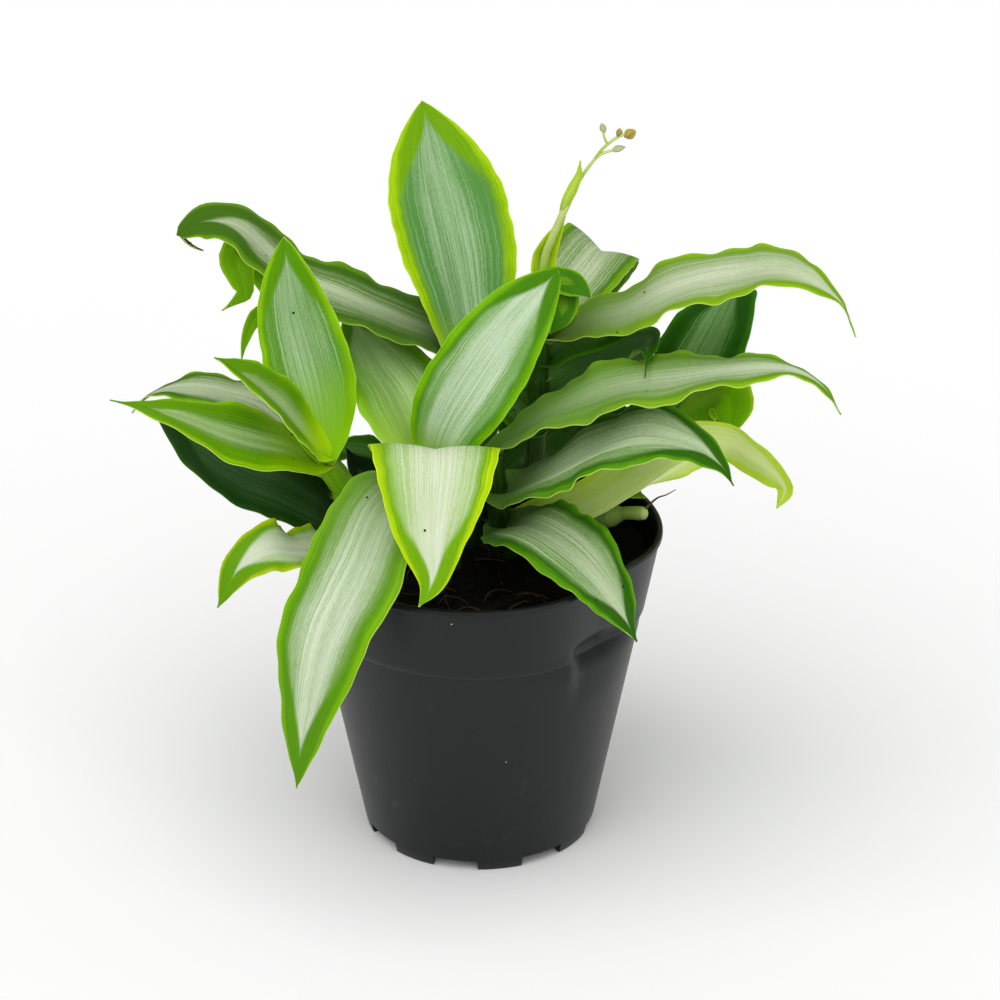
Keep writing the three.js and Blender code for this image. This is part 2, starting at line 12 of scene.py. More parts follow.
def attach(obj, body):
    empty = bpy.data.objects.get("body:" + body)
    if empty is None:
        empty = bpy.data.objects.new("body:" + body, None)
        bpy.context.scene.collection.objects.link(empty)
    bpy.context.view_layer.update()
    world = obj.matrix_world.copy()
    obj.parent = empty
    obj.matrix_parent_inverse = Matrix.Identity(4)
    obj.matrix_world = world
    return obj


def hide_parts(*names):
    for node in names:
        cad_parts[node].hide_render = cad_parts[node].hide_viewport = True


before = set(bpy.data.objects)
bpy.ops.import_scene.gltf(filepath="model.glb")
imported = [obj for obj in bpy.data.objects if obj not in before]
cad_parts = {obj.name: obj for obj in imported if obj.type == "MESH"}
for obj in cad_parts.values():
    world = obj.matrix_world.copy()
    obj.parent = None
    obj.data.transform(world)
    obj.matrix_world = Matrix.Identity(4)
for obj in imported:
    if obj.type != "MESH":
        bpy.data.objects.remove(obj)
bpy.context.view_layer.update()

MM = 0.001

# Pot and soil, the same values as in the CAD source
POT_HEIGHT = 107
RIM_RADIUS = 60
BASE_RADIUS = 38
WALL = 1.2
RIM_HEIGHT = 2
RIM_PROUD = 0.7
COLLAR_HEIGHT = 27
COLLAR_STEP = 0.9
FOOT_HEIGHT = 4
FOOT_DEPTH = 2.4
FOOT_COUNT = 8
FIRST_NOTCH_DEG = -102
NOTCH_WIDTH = 15
FLOOR = 1.5
DRAIN_RADIUS = 3.5
DRAIN_CIRCLE = 27
DENT_DEPTH = 5.5
DENT_DEG = -40
DENT_SPREAD_DEG = 21
DENT_LOW = 74
DENT_HIGH = 84
CREASE_DEPTH = 3
CREASE_FROM_DEG = -57
CREASE_TO_DEG = -12
CREASE_EDGE_DEG = 8
CREASE_LEVEL_DEG = 15
CREASE_FOOT = 62
CREASE_TOP = 87
SOIL_LEVEL = 97
SOIL_GAP = 0.7
ROOT_DEPTH = 10

# Leaf form: the first five as in the CAD source, the others for detail finer than there
CLASP_LENGTH = 0.16
STEEPEST_FOLD = 76
TIP_POWER = 2.1
WAVE_POWER = 0.6
OTHER_SIDE_SHIFT = 0.37
BLADE = 0.5
MARGIN_THINNING = 0.45
TIP_HALF_WIDTH = 0.12
WOBBLE = 0.012
WOBBLE_COUNTS = (5, 8, 13)
LESSER_WAVE = 0.3
LEAST_WAVE = 0.12
LESSER_WAVE_COUNT = 2.7
RIB_ROUNDING = 0.004
ARCH = 0.05

# Stem form: where the lowest sheath starts along a stem, how far each mouth stands out, and the two ends
FIRST_SHEATH = 0.25
MOUTH_LENGTH = 0.02
LIP_LENGTH = 0.012
MOUTH_GIRTH = 1.2
LIP_GIRTH = 1.14
TOP_GIRTH = 0.6
ROOT_SLANT = 0.3

# How finely the visual meshes are made, and how many small things lie on them
POT_SEGMENTS = 288
SOIL_SEGMENTS = 180
SOIL_RINGS = 60
STEM_SIDES = 28
STEM_ROW = 0.5
STUMP_ROWS = 110
TWIG_SIDES = 14
TWIG_ROWS = 90
SPAN_STEPS = 200
ROW_LENGTH = 1.5
FEWEST_ROWS = 14
COLUMNS = 21
COLUMN_CROWDING = 1.25
CRUMB_COUNT = 520
FIBRE_COUNT = 70
HAIR_COUNT = 16

# Seeds of the random draws. A leaf's own seed is its number.
CRUMB_SEED, FIBRE_SEED, FLOWER_SEED, STEM_SEED = 11, 23, 5, 100
SHADE_FILL_SEED, DRY_TIP_SEED, SHEATH_SEED = 700, 800, 900

# Camera and floor, set to the photo's view
CAMERA_TARGET = (6.87, 0, 116.8)
CAMERA_DISTANCE = 1.2
CAMERA_ELEVATION_DEG = 26
SENSOR = 36
LENS = SENSOR * 3.705
FLOOR_REACH = 6
FLOOR_TONE = 0.985


def linear(red, green, blue):
    """A colour given as on a screen, 0 to 255, for a shader."""
    parts = [c / 255 for c in (red, green, blue)]
    return tuple(c / 12.92 if c <= 0.04045 else ((c + 0.055) / 1.055) ** 2.4 for c in parts) + (1,)


# Materials: every one is a graph of nodes

POT_BLACK, POT_GREY = (6, 9, 10), (18, 21, 22)
DUST, PALE_SPECK, DARK_SPECK = (112, 112, 108), (196, 192, 182), (38, 30, 12)
PEAT_BROWN = (52, 30, 18)
UNDERSIDE = (160, 194, 104)


class Graph:
    """A material whose nodes are added by short calls."""

    def __init__(self, name):
        self.material = bpy.data.materials.new(name)
        self.material.use_nodes = True
        self.tree = self.material.node_tree
        self.shader = self.tree.nodes["Principled BSDF"]

    def feed(self, socket, value):
        if isinstance(value, bpy.types.NodeSocket):
            self.tree.links.new(value, socket)
        elif value is not None:
            socket.default_value = value

    def node(self, kind, inputs=(), **settings):
        made = self.tree.nodes.new("ShaderNode" + kind)
        for key, value in settings.items():
            setattr(made, key, value)
        for key, value in dict(inputs).items():
            self.feed(made.inputs[key], value)
        return made

    def maths(self, operation, first, second=None, third=None):
        return self.node("Math", {0: first, 1: second, 2: third}, operation=operation).outputs[0]

    def times(self, value, factor, plus=None):
        return self.maths("MULTIPLY" if plus is None else "MULTIPLY_ADD", value, factor, plus)

    def smooth(self, value, low, high):
        inputs = {"Value": value, "From Min": low, "From Max": high}
        return self.node("MapRange", inputs, interpolation_type="SMOOTHSTEP").outputs["Result"]

    def mix(self, factor, first, second, blend="MIX"):
        """Between two colours, each one a node's result or given as on a screen."""
        first, second = (linear(*c) if isinstance(c, tuple) else c for c in (first, second))
        made = self.node("Mix", {0: factor, 6: first, 7: second}, data_type="RGBA", blend_type=blend)
        return made.outputs[2]

    def noise(self, vector, scale, detail=2.0, roughness=0.5):
        inputs = {"Vector": vector, "Scale": scale, "Detail": detail, "Roughness": roughness}
        return self.node("TexNoise", inputs).outputs[0]

    def swing(self, value, strength, start):
        """A start value, moved up and down by a noise."""
        return self.times(self.maths("SUBTRACT", value, 0.5), strength, start)

    def place(self):
        return self.node("TexCoord").outputs["Object"]

    def bump(self, height, strength, distance):
        inputs = {"Height": height, "Strength": strength, "Distance": distance}
        self.feed(self.shader.inputs["Normal"], self.node("Bump", inputs).outputs[0])

    def surface(self, **inputs):
        names = {"colour": "Base Color", "roughness": "Roughness", "specular": "Specular IOR Level"}
        for key, value in inputs.items():
            self.feed(self.shader.inputs[names[key]], value)
        return self.material

    def specks(self, scale, size, share):
        """1 inside small round specks that lie in a share of a cell pattern's cells."""
        cells = self.node("TexVoronoi", {"Vector": self.place(), "Scale": scale})
        near = self.maths("LESS_THAN", cells.outputs["Distance"], size)
        tint = self.node("SeparateColor", {0: cells.outputs["Color"]}).outputs[0]
        return self.times(near, self.maths("LESS_THAN", tint, share))


# A look gives a leaf's colours: the band at its rim, the band inside that, and the centre, which is streaked
# from the third colour to the fourth. pale is the streaks' share, extent is where the centre ends across the
# leaf, and tip is where it ends along it. foot is the colour at its foot, which fades out at rooted. In most
# looks it is the leaf's own foot colour. In the looks of leaves deep in the plant it is a darker green,
# painted shade.
# In the lime and slim looks it is paler, painted light where the crown lies in a fold. shine is how strongly
# it reflects. Where a look says nothing, leaf_material has the usual value.
def tints(edge, band, centre, streak, **others):
    return dict(edge=edge, band=band, centre=centre, streak=streak, **others)


LOOKS = {
    "tall": tints((158, 202, 0), (112, 164, 0), (88, 144, 66), (172, 200, 156), pale=0.4, extent=0.8,
        foot=(146, 188, 40), rooted=0.3),
    # Its foot is paler than the leaf's own: painted light, where the crown lies in a fold.
    "lime": tints((134, 188, 0), (92, 152, 0), (90, 146, 34), (170, 198, 152), extent=0.78, tip=0.98,
        foot=(144, 202, 2), rooted=0.52),
    "cream": tints((176, 212, 0), (112, 166, 0), (156, 190, 104), (214, 222, 196), pale=0.66, extent=0.74),
    "hanging": tints((114, 170, 0), (84, 142, 0), (116, 156, 70), (206, 219, 192), pale=0.58, extent=0.72,
        foot=(108, 148, 50), rooted=0.62),
    "silver": tints((114, 174, 0), (70, 130, 0), (118, 164, 82), (200, 218, 188), pale=0.58, tip=1.02),
    "soft": tints((120, 176, 0), (92, 148, 0), (114, 162, 56), (176, 206, 140), pale=0.52, extent=0.8,
        foot=(164, 208, 70), rooted=0.56),
    # Its foot is paler than the leaf's own: painted light, where the crown lies in a fold.
    "slim": tints((130, 182, 0), (96, 150, 0), (90, 142, 16), (170, 196, 132), extent=0.5, tip=0.98,
        foot=(176, 220, 4), rooted=0.42),
    # Its long darker foot is painted shade, cast by the leaves above.
    "long": tints((144, 190, 2), (100, 150, 4), (118, 158, 62), (210, 219, 190), pale=0.56, extent=0.72,
        tip=1.04, foot=(98, 142, 46), rooted=0.9),
    # Painted shade: a darker grey-green copy, with a darker foot, for a leaf that lies in shadow.
    "shadowed": tints((98, 146, 4), (64, 108, 8), (88, 124, 44), (190, 202, 166), extent=0.64,
        foot=(62, 94, 30), rooted=0.55),
    "grey": tints((110, 162, 0), (66, 112, 4), (106, 144, 64), (202, 213, 180), pale=0.54, tip=1.02),
    # Its darker foot is painted shade.
    "pale": tints((134, 180, 6), (112, 156, 14), (130, 164, 80), (208, 217, 186), pale=0.54, tip=1.04,
        foot=(92, 130, 30), rooted=0.5),
    "shaded": tints((88, 152, 0), (44, 98, 0), (98, 142, 56), (194, 208, 172), pale=0.56, extent=0.74,
        foot=(92, 134, 48), rooted=0.42),
    # dusk and dark: darker copies of the leaf colours, painted shade for leaves deep in the plant and for the
    # dark leaves that fill shaded gaps.
    "dusk_shade": tints((46, 106, 2), (28, 78, 2), (44, 92, 14), (112, 152, 88), pale=0.42, extent=0.6, tip=0.95,
        foot=(26, 60, 6), shine=0.06),
    "dark": tints((70, 130, 8), (48, 96, 8), (58, 106, 30), (98, 142, 74), pale=0.36, tip=0.9,
        foot=(44, 86, 16), shine=0.02),
    "worn": tints((158, 184, 4), (98, 152, 4), (146, 176, 104), (206, 214, 188), pale=0.62, extent=0.8,
        tip=0.9),
    # The darkest copy: painted shade for leaves in deep shadow under the others.
    "deep_shade": tints((30, 76, 6), (20, 56, 6), (32, 68, 22), (64, 94, 54), pale=0.34, tip=0.9,
        foot=(24, 46, 12), shine=0.12),
    "green": tints((158, 206, 4), (120, 182, 2), (112, 174, 2), (146, 194, 30), pale=0.3, extent=0.6,
        tip=0.95),
    "young": tints((118, 174, 2), (60, 120, 2), (62, 122, 2), (112, 160, 26), pale=0.3, extent=0.5,
        tip=0.9, foot=(80, 140, 4)),
    "bract": tints((200, 222, 44), (176, 210, 20), (168, 204, 16), (212, 226, 104), pale=0.4, extent=0.6,
        tip=0.9, foot=(168, 204, 24)),
    # Painted light: an underside far paler than the leaf's own, standing in for light shining through it and
    # bounced onto it.
    "lit_yellow": tints((200, 230, 10), (196, 228, 50), (204, 232, 98), (232, 243, 168), extent=0.86, tip=1.04,
        foot=(190, 226, 60)),
    "dry": tints((92, 62, 34), (84, 56, 34), (104, 70, 44), (150, 116, 80), pale=0.4, extent=0.7,
        foot=(96, 84, 36)),
}


# Noises of a leaf's pattern: scale across and along it, shift between them, detail and roughness
LEAF_NOISES = dict(
    fine=(42, 1.4, 0, 2, 0.6),
    grain=(60, 70, 2.7, 1, 0.5),
    lines=(24, 0.5, 3.1, 1, 0.5),
    wide=(5, 0.8, 5.3, 1, 0.5),
    blotch=(1.4, 2.4, 9.1, 2, 0.5),
    wander=(1.6, 5, 13.7, 2, 0.5),
)
# How far those noises move the edge of the pale centre, and where that edge runs together before the tip
EDGE_FINE, EDGE_WANDER = 0.16, 0.22
EDGE_OUT, EDGE_IN = 0.08, 0.12
TIP_BEFORE, TIP_PAST, TIP_CLOSING = 0.34, 0.06, 0.95
# How much each noise, and the way from the midrib to the side, change the streaks
STREAK_START = 0.2
STREAK_WIDE, STREAK_BLOTCH, STREAK_FINE, STREAK_GRAIN = 0.9, 0.8, 2.3, 0.7
SIDE_DARKENING = -0.72
# Pale veins and the pale rim: how strong they are, and how much paler than the streaks and the edge
VEIN, VEIN_PALER = 0.6, 14
RIM_LINE, RIM_PALER = 0.5, 60
FOOT_COVER, UNDERSIDE_COVER = 0.92, 0.2


def paler(colour, by):
    return tuple(min(c + by, 255) for c in colour)


def leaf_material(name, under, edge, band, centre, streak, pale=0.5, extent=0.76, tip=1, foot=(126, 172, 14),
                  rooted=0.26, shine=0.1):
    """One side of a leaf, drawn from the mesh's own places: across it, along it, and a number of its own."""
    graph = Graph(name)
    place = graph.node("Attribute", attribute_name="leaf").outputs["Vector"]
    across, along, seed = graph.node("SeparateXYZ", {0: place}).outputs

    def stretched_noise(wide, long, shift, detail, roughness):
        vector = graph.node("CombineXYZ", {
            0: graph.times(across, wide),
            1: graph.times(along, long),
            2: graph.maths("ADD", seed, shift),
        })
        return graph.noise(vector.outputs[0], 1, detail, roughness)

    fine, grain, lines, wide, blotch, wander = (stretched_noise(*values) for values in LEAF_NOISES.values())
    from_middle = graph.maths("ABSOLUTE", across)
    reach = graph.swing(fine, EDGE_FINE, graph.swing(wander, EDGE_WANDER, from_middle))
    to_tip = graph.smooth(along, tip - TIP_BEFORE, tip + TIP_PAST)
    reach_to_tip = graph.times(to_tip, TIP_CLOSING, reach)
    inside = graph.smooth(reach_to_tip, extent + EDGE_OUT, extent - EDGE_IN)

    amount = graph.swing(blotch, STREAK_BLOTCH, graph.swing(wide, STREAK_WIDE, pale + STREAK_START))
    amount = graph.swing(grain, STREAK_GRAIN, graph.swing(fine, STREAK_FINE, amount))
    amount = graph.times(graph.smooth(from_middle, 0.15, extent), SIDE_DARKENING, amount)
    amount = graph.maths("MINIMUM", graph.maths("MAXIMUM", amount, 0), 1)
    middle = graph.mix(amount, centre, streak)
    vein = graph.times(graph.smooth(lines, 0.6, 0.68), graph.smooth(blotch, 0.3, 0.65))
    middle = graph.mix(graph.times(vein, VEIN), middle, paler(streak, VEIN_PALER))

    margin = graph.mix(graph.smooth(reach, 0.76, 0.96), band, edge)
    shade = graph.swing(grain, 0.35, graph.times(fine, 0.9, 0.55))
    grey = graph.node("CombineColor", {0: shade, 1: shade, 2: shade}).outputs[0]
    colour = graph.mix(inside, graph.mix(1.0, margin, grey, "MULTIPLY"), middle)
    # Towards the foot the colour goes over to the foot colour: painted shade in the darker looks, painted
    # light in the lime and slim looks
    to_base = graph.times(graph.smooth(along, rooted, 0.08), FOOT_COVER)
    colour = graph.mix(to_base, colour, foot)
    if under:
        colour = graph.mix(UNDERSIDE_COVER, colour, UNDERSIDE)
    rim = graph.times(graph.smooth(from_middle, 0.978, 0.992), RIM_LINE)
    colour = graph.mix(rim, colour, paler(edge, RIM_PALER))
    colour = graph.mix(graph.specks(scale=115, size=0.05, share=0.3), colour, DARK_SPECK)
    graph.bump(graph.times(vein, 0.35, fine), strength=0.35, distance=0.0003)
    roughness = graph.times(fine, 0.22, 0.5 if under else 0.42)
    return graph.surface(colour=colour, roughness=roughness, specular=shine)


def rim_material(name, low, high):
    graph = Graph(name)
    tone = graph.noise(graph.place(), scale=260)
    colour = graph.mix(tone, low, high)
    return graph.surface(colour=colour, roughness=0.5, specular=0.3)


def stem_material(name, low, high, light=(206, 218, 140)):
    """A stem that passes from its low colour to its high one, with light lines along it."""
    graph = Graph(name)
    place = graph.node("Attribute", attribute_name="leaf").outputs["Vector"]
    around, along, own = graph.node("SeparateXYZ", {0: place}).outputs
    stretched = graph.node("CombineXYZ", {
        0: graph.times(around, 16),
        1: graph.times(along, 3),
        2: own,
    })
    lines = graph.noise(stretched.outputs[0], scale=1, detail=3, roughness=0.6)
    colour = graph.mix(along, low, high)
    colour = graph.mix(graph.times(graph.smooth(lines, 0.45, 0.8), 0.5), colour, light)
    graph.bump(lines, strength=0.4, distance=0.0003)
    return graph.surface(colour=colour, roughness=graph.times(lines, 0.2, 0.4), specular=0.2)


def pot_material():
    graph = Graph("pot_plastic")
    place = graph.place()
    cloud = graph.noise(place, scale=26, detail=4, roughness=0.6)
    grain = graph.noise(place, scale=900, detail=2, roughness=0.6)
    rings = graph.noise(graph.node("Mapping", {0: place, 3: (9, 9, 420)}).outputs[0], scale=1)
    colour = graph.mix(cloud, POT_BLACK, POT_GREY)
    dusty = graph.smooth(graph.noise(place, scale=60, detail=5, roughness=0.7), 0.6, 0.82)
    colour = graph.mix(graph.times(dusty, 0.25), colour, DUST)
    colour = graph.mix(graph.specks(scale=120, size=0.035, share=0.08), colour, PALE_SPECK)
    graph.bump(graph.times(rings, 0.6, grain), strength=0.16, distance=0.0002)
    roughness = graph.times(cloud, 0.16, 0.3)
    return graph.surface(colour=colour, roughness=roughness, specular=0.3)


def peat_material(name, dark, light):
    graph = Graph(name)
    place = graph.place()
    lumps = graph.noise(place, scale=420, detail=5, roughness=0.7)
    tint = graph.noise(place, scale=90)
    colour = graph.mix(graph.smooth(lumps, 0.35, 0.75), dark, light)
    brown = graph.times(graph.smooth(tint, 0.5, 0.8), 0.4)
    colour = graph.mix(brown, colour, PEAT_BROWN)
    graph.bump(lumps, strength=0.8, distance=0.0006)
    return graph.surface(colour=colour, roughness=0.95, specular=0.15)


def plain_material(name, first, second, scale, roughness):
    graph = Graph(name)
    tone = graph.noise(graph.place(), scale, detail=3, roughness=0.6)
    graph.bump(tone, strength=0.3, distance=0.0003)
    colour = graph.mix(tone, first, second)
    return graph.surface(colour=colour, roughness=roughness, specular=0.3)


TOP = {look: leaf_material("leaf_" + look, under=False, **values) for look, values in LOOKS.items()}
UNDER = {look: leaf_material("underside_" + look, under=True, **values) for look, values in LOOKS.items()}
RIM = rim_material("leaf_rim", (164, 198, 52), (214, 228, 132))
# The looks of leaves in shade get a darker rim: painted shade.
SHADE_LOOKS = ("dark", "deep_shade", "dusk_shade")
SHADED_RIM = rim_material("leaf_rim_shaded", (50, 90, 20), (96, 136, 50))
STEM = stem_material("stem_green", (96, 150, 14), (124, 184, 6), (166, 206, 60))
# A darker copy of the stem colour: painted shade for the stems inside the plant.
SHADED_STEM = stem_material("stem_shaded", (26, 48, 12), (44, 84, 14), (96, 134, 50))
CUT_STEM = stem_material("stem_cut", (96, 144, 14), (178, 208, 110))
STALK = stem_material("stalk_pale", (150, 192, 30), (210, 220, 140))
POT = pot_material()
PEAT = peat_material("peat", (4, 3, 2), (24, 18, 14))
CRUMB = peat_material("peat_crumbs", (6, 4, 3), (40, 28, 20))
FIBRE = plain_material("root_fibre", (40, 28, 18), (92, 68, 44), scale=500, roughness=0.8)
DRY_ROOT = plain_material("dry_root", (70, 40, 34), (128, 92, 72), scale=500, roughness=0.8)
HAIR = plain_material("leaf_hair", (120, 142, 84), (168, 184, 130), scale=400, roughness=0.6)
BUD = plain_material("bud", (150, 140, 40), (206, 178, 60), scale=700, roughness=0.6)
YOUNG_BUD = plain_material("young_bud", (150, 164, 96), (206, 208, 168), scale=700, roughness=0.6)
HUSK = plain_material("bud_husk", (96, 70, 40), (190, 176, 140), scale=900, roughness=0.7)


# Meshes

def placed(name, data):
    """A new object in the scene."""
    made = bpy.data.objects.new(name, data)
    bpy.context.scene.collection.objects.link(made)
    return made


def piece(name, points, faces, materials, node=None, indices=None, leaf=None, sharp=48):
    """A closed mesh from points in millimetres. It rides on the part's one body."""
    mesh = bpy.data.meshes.new(name)
    mesh.from_pydata((np.asarray(points, float) * MM).tolist(), [], [list(map(int, f)) for f in faces])
    for material in materials:
        mesh.materials.append(material)
    if indices is not None:
        mesh.polygons.foreach_set("material_index", np.asarray(indices, np.int32))
    if leaf is not None:
        places = mesh.attributes.new("leaf", "FLOAT_VECTOR", "POINT")
        places.data.foreach_set("vector", np.asarray(leaf, np.float32).ravel())
    mesh.shade_smooth()
    mesh.set_sharp_from_angle(angle=math.radians(sharp))
    made = placed(name, mesh)
    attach(made, "root")
    if node:
        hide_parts(node)
    return made


def unit(vectors):
    return vectors / np.maximum(np.linalg.norm(vectors, axis=-1, keepdims=True), 1e-9)


def curve(points, count):
    """Evenly spaced places and directions on a smooth curve through the points, and its length."""
    given = np.array(points, float)
    given = np.vstack([2 * given[0] - given[1], given, 2 * given[-1] - given[-2]])
    spans = len(points) - 1
    t = np.linspace(0, spans, SPAN_STEPS * spans + 1)
    k = np.minimum(t.astype(int), spans - 1)
    f = (t - k)[:, None]
    a, b, c, d = (given[k + i] for i in range(4))
    line = 0.5 * (2 * b + (c - a) * f + (2 * a - 5 * b + 4 * c - d) * f**2 + (3 * b - a - 3 * c + d) * f**3)
    lengths = np.concatenate([[0], np.cumsum(np.linalg.norm(np.diff(line, axis=0), axis=1))])
    at = np.linspace(0, lengths[-1], count)
    places = np.stack([np.interp(at, lengths, line[:, i]) for i in range(3)], 1)
    return places, unit(np.gradient(places, axis=0)), lengths[-1]


def between(values, u):
    """What evenly spaced values give at each place u."""
    return np.interp(u, np.linspace(0, 1, len(values)), values)


def outline(u, belly, foot, tip):
    """Half the width of a leaf along it, as a share of the widest."""
    rising = foot + (1 - foot) * np.sin(np.pi / 2 * np.minimum(u / belly, 1))
    falling = (1 - np.clip((u - belly) / (1 - belly), 0, 1) ** TIP_POWER) ** tip
    return np.where(u < belly, rising, falling)


def surface_of(leaf, seed):
    """The middle surface of a leaf: its points in rows, and the places of the rows and columns."""
    length = curve(leaf["rib"], 2)[2]
    count = max(FEWEST_ROWS, round(length / ROW_LENGTH)) + 1
    places, along, _ = curve(leaf["rib"], count)
    u = np.linspace(0, 1, count)
    x = np.linspace(-1, 1, COLUMNS)
    x = np.sign(x) * (1 - (1 - np.abs(x)) ** COLUMN_CROWDING)
    chord = np.array(leaf["rib"][-1], float) - np.array(leaf["rib"][0], float)
    heading = math.atan2(chord[1], chord[0])
    across = np.array([math.sin(heading), -math.cos(heading), 0])
    across = unit(across - along * (along @ across)[:, None])
    up = np.cross(across, along)
    turn = np.radians(between(leaf.get("roll", [0, 0]), u))[:, None]
    side = across * np.cos(turn) + up * np.sin(turn)
    normal = up * np.cos(turn) - across * np.sin(turn)
    form = [leaf.get("belly", 0.42), leaf.get("foot", 0.36), leaf.get("tip", 1.15)]
    half = leaf["width"] / 2 * outline(u, *form)
    draw = np.random.default_rng(seed)
    wobble = sum(draw.uniform(-WOBBLE, WOBBLE) * np.sin(2 * np.pi * (n * u + draw.random()))
                 for n in WOBBLE_COUNTS)
    half = np.maximum(TIP_HALF_WIDTH, half * (1 + wobble))
    closing = leaf.get("clasp", 50) * (1 - np.minimum(u / CLASP_LENGTH, 1)) ** 2
    rise = np.radians(np.minimum(between(leaf.get("fold", [20, 5]), u) + closing, STEEPEST_FOLD))
    depth, waves, phase = leaf.get("wave", (1.2, 3.5, 0))
    strength = depth * np.sin(np.pi * u) ** WAVE_POWER
    start = phase + np.where(x < 0, OTHER_SIDE_SHIFT, 0)
    ripple = strength[:, None] * x**2 * np.sin(2 * np.pi * (waves * u[:, None] + start))
    small = draw.random(2)
    lesser = np.where(x < 0, small[0], small[1])
    ripple = ripple + (LESSER_WAVE * strength + LEAST_WAVE)[:, None] * np.abs(x)**5 * np.sin(
        2 * np.pi * (waves * LESSER_WAVE_COUNT * u[:, None] + lesser))
    rounded = np.sqrt(x**2 + RIB_ROUNDING) - RIB_ROUNDING**0.5
    arch = ARCH * half[:, None] * (1 - (2 * np.abs(x) - 1) ** 2)
    flat = half[:, None] * x * np.cos(rise)[:, None]
    lift = half[:, None] * rounded * np.sin(rise)[:, None] + ripple + arch
    surface = places[:, None] + side[:, None] * flat[..., None] + normal[:, None] * lift[..., None]
    return surface, u, x


def leaf_piece(name, node, leaf, seed):
    """A leaf as a closed blade: its upper side, its under side, and a strip round the rim between them."""
    rows, u, x = surface_of(leaf, seed)
    forward = np.gradient(rows, axis=0)
    sideways = np.gradient(rows, axis=1)
    facing = unit(np.cross(sideways, forward))
    thick = BLADE / 2 * (1 - MARGIN_THINNING * np.abs(x) ** 3)[None, :, None]
    count, columns = rows.shape[:2]
    points = np.concatenate([(rows + facing * thick).reshape(-1, 3), (rows - facing * thick).reshape(-1, 3)])
    under = count * columns
    at = np.arange(under).reshape(count, columns)
    quads = np.stack([at[:-1, :-1], at[:-1, 1:], at[1:, 1:], at[1:, :-1]], -1).reshape(-1, 4)
    rings = np.concatenate([at[:, 0], at[-1, 1:], at[-2::-1, -1], at[0, -2:0:-1]])
    following = np.roll(rings, -1)
    edge = np.stack([rings, following, following + under, rings + under], -1)
    faces = np.concatenate([quads, quads[:, ::-1] + under, edge])
    indices = np.repeat([0, 1, 2], [len(quads), len(quads), len(edge)])
    one = np.stack(np.broadcast_arrays(x[None, :], u[:, None], float(seed)), -1).reshape(-1, 3)
    look = leaf["look"]
    materials = [TOP[look], UNDER[look], SHADED_RIM if look in SHADE_LOOKS else RIM]
    return piece(name, points, faces, materials, node, indices, np.tile(one, (2, 1)))


def square_to(along):
    """Two directions square to each other and to each given one."""
    across = unit(np.cross(np.array([1, 0.2, 0]), along))
    return across, np.cross(along, across)


def tube(places, along, radii, sides):
    """Points, faces and leaf places of a closed round rod."""
    across, third = square_to(along)
    angle = 2 * np.pi * np.arange(sides) / sides
    ring = across[:, None] * np.cos(angle)[:, None] + third[:, None] * np.sin(angle)[:, None]
    points = (places[:, None] + ring * np.asarray(radii)[:, None, None]).reshape(-1, 3)
    count = len(places)
    at = np.arange(count * sides).reshape(count, sides)
    after = np.roll(at, -1, axis=1)
    quads = np.stack([at[:-1], after[:-1], after[1:], at[1:]], -1).reshape(-1, 4)
    faces = [*map(list, quads), list(at[0, ::-1]), list(at[-1])]
    ways = np.abs(2 * np.arange(sides) / sides - 1)
    leaf = np.stack(np.broadcast_arrays(ways[None, :], np.linspace(0, 1, count)[:, None], 0.0), -1)
    return points, faces, leaf.reshape(-1, 3)


class Heap:
    """Several closed parts gathered into one piece."""

    def __init__(self):
        self.points, self.faces, self.leaf, self.indices = [], [], [], []
        self.count = 0

    def add(self, points, faces, leaf=None, index=0):
        self.points.append(points)
        self.faces += [[v + self.count for v in f] for f in faces]
        self.leaf.append(np.zeros((len(points), 3)) if leaf is None else leaf)
        self.indices += [index] * len(faces)
        self.count += len(points)

    def piece(self, name, materials, slot, node=None, sharp=48):
        return piece(name, np.concatenate(self.points), self.faces, materials, node, self.indices,
                     np.concatenate(self.leaf), sharp)


# Pot: a turned profile with notches under the foot ring, drain holes and a dent

FLOOR_TOP = FOOT_HEIGHT + FLOOR
COLLAR_FOOT = POT_HEIGHT - COLLAR_HEIGHT
RIM_FOOT = POT_HEIGHT - RIM_HEIGHT
COLLAR_TOP_RADIUS = RIM_RADIUS - RIM_PROUD
TAPER = (COLLAR_TOP_RADIUS - COLLAR_STEP - BASE_RADIUS) / RIM_FOOT

# Heights of the rows of points, closest where the dent and its crease bend the wall
WALL_ROWS = (4, 8, 16, 24, 32, 40, 48, 54, 60, 65, 70, 73, 75, 77, 78.4, 79.4)
COLLAR_ROWS = (82, 84, 86, 87, 89, 92, 95, 98, 101, 103.4, 104.7)
INNER_ROWS = (104, 101, 98, 95, 92, 88, 84, 81, 79, 76, 72, 66, 58, 48, 38, 28, 18, 10)
SOIL_ROWS = (20, 40, 60, 74, 77, 79.6, 80.4, 84, 90, 95)
NOTCH_SHORT = 0.2
CUT_EDGE_DEG = 35


def wall_radius(z):
    return BASE_RADIUS + TAPER * z


def outer_radius(z):
    return wall_radius(z) + (COLLAR_STEP if z > COLLAR_FOOT else 0)


def inner_radius(z):
    return wall_radius(z) - WALL + (COLLAR_STEP / 2 if z > COLLAR_FOOT else 0)


def smoothstep(value, low, high):
    t = np.clip((value - low) / (high - low), 0, 1)
    return t * t * (3 - 2 * t)


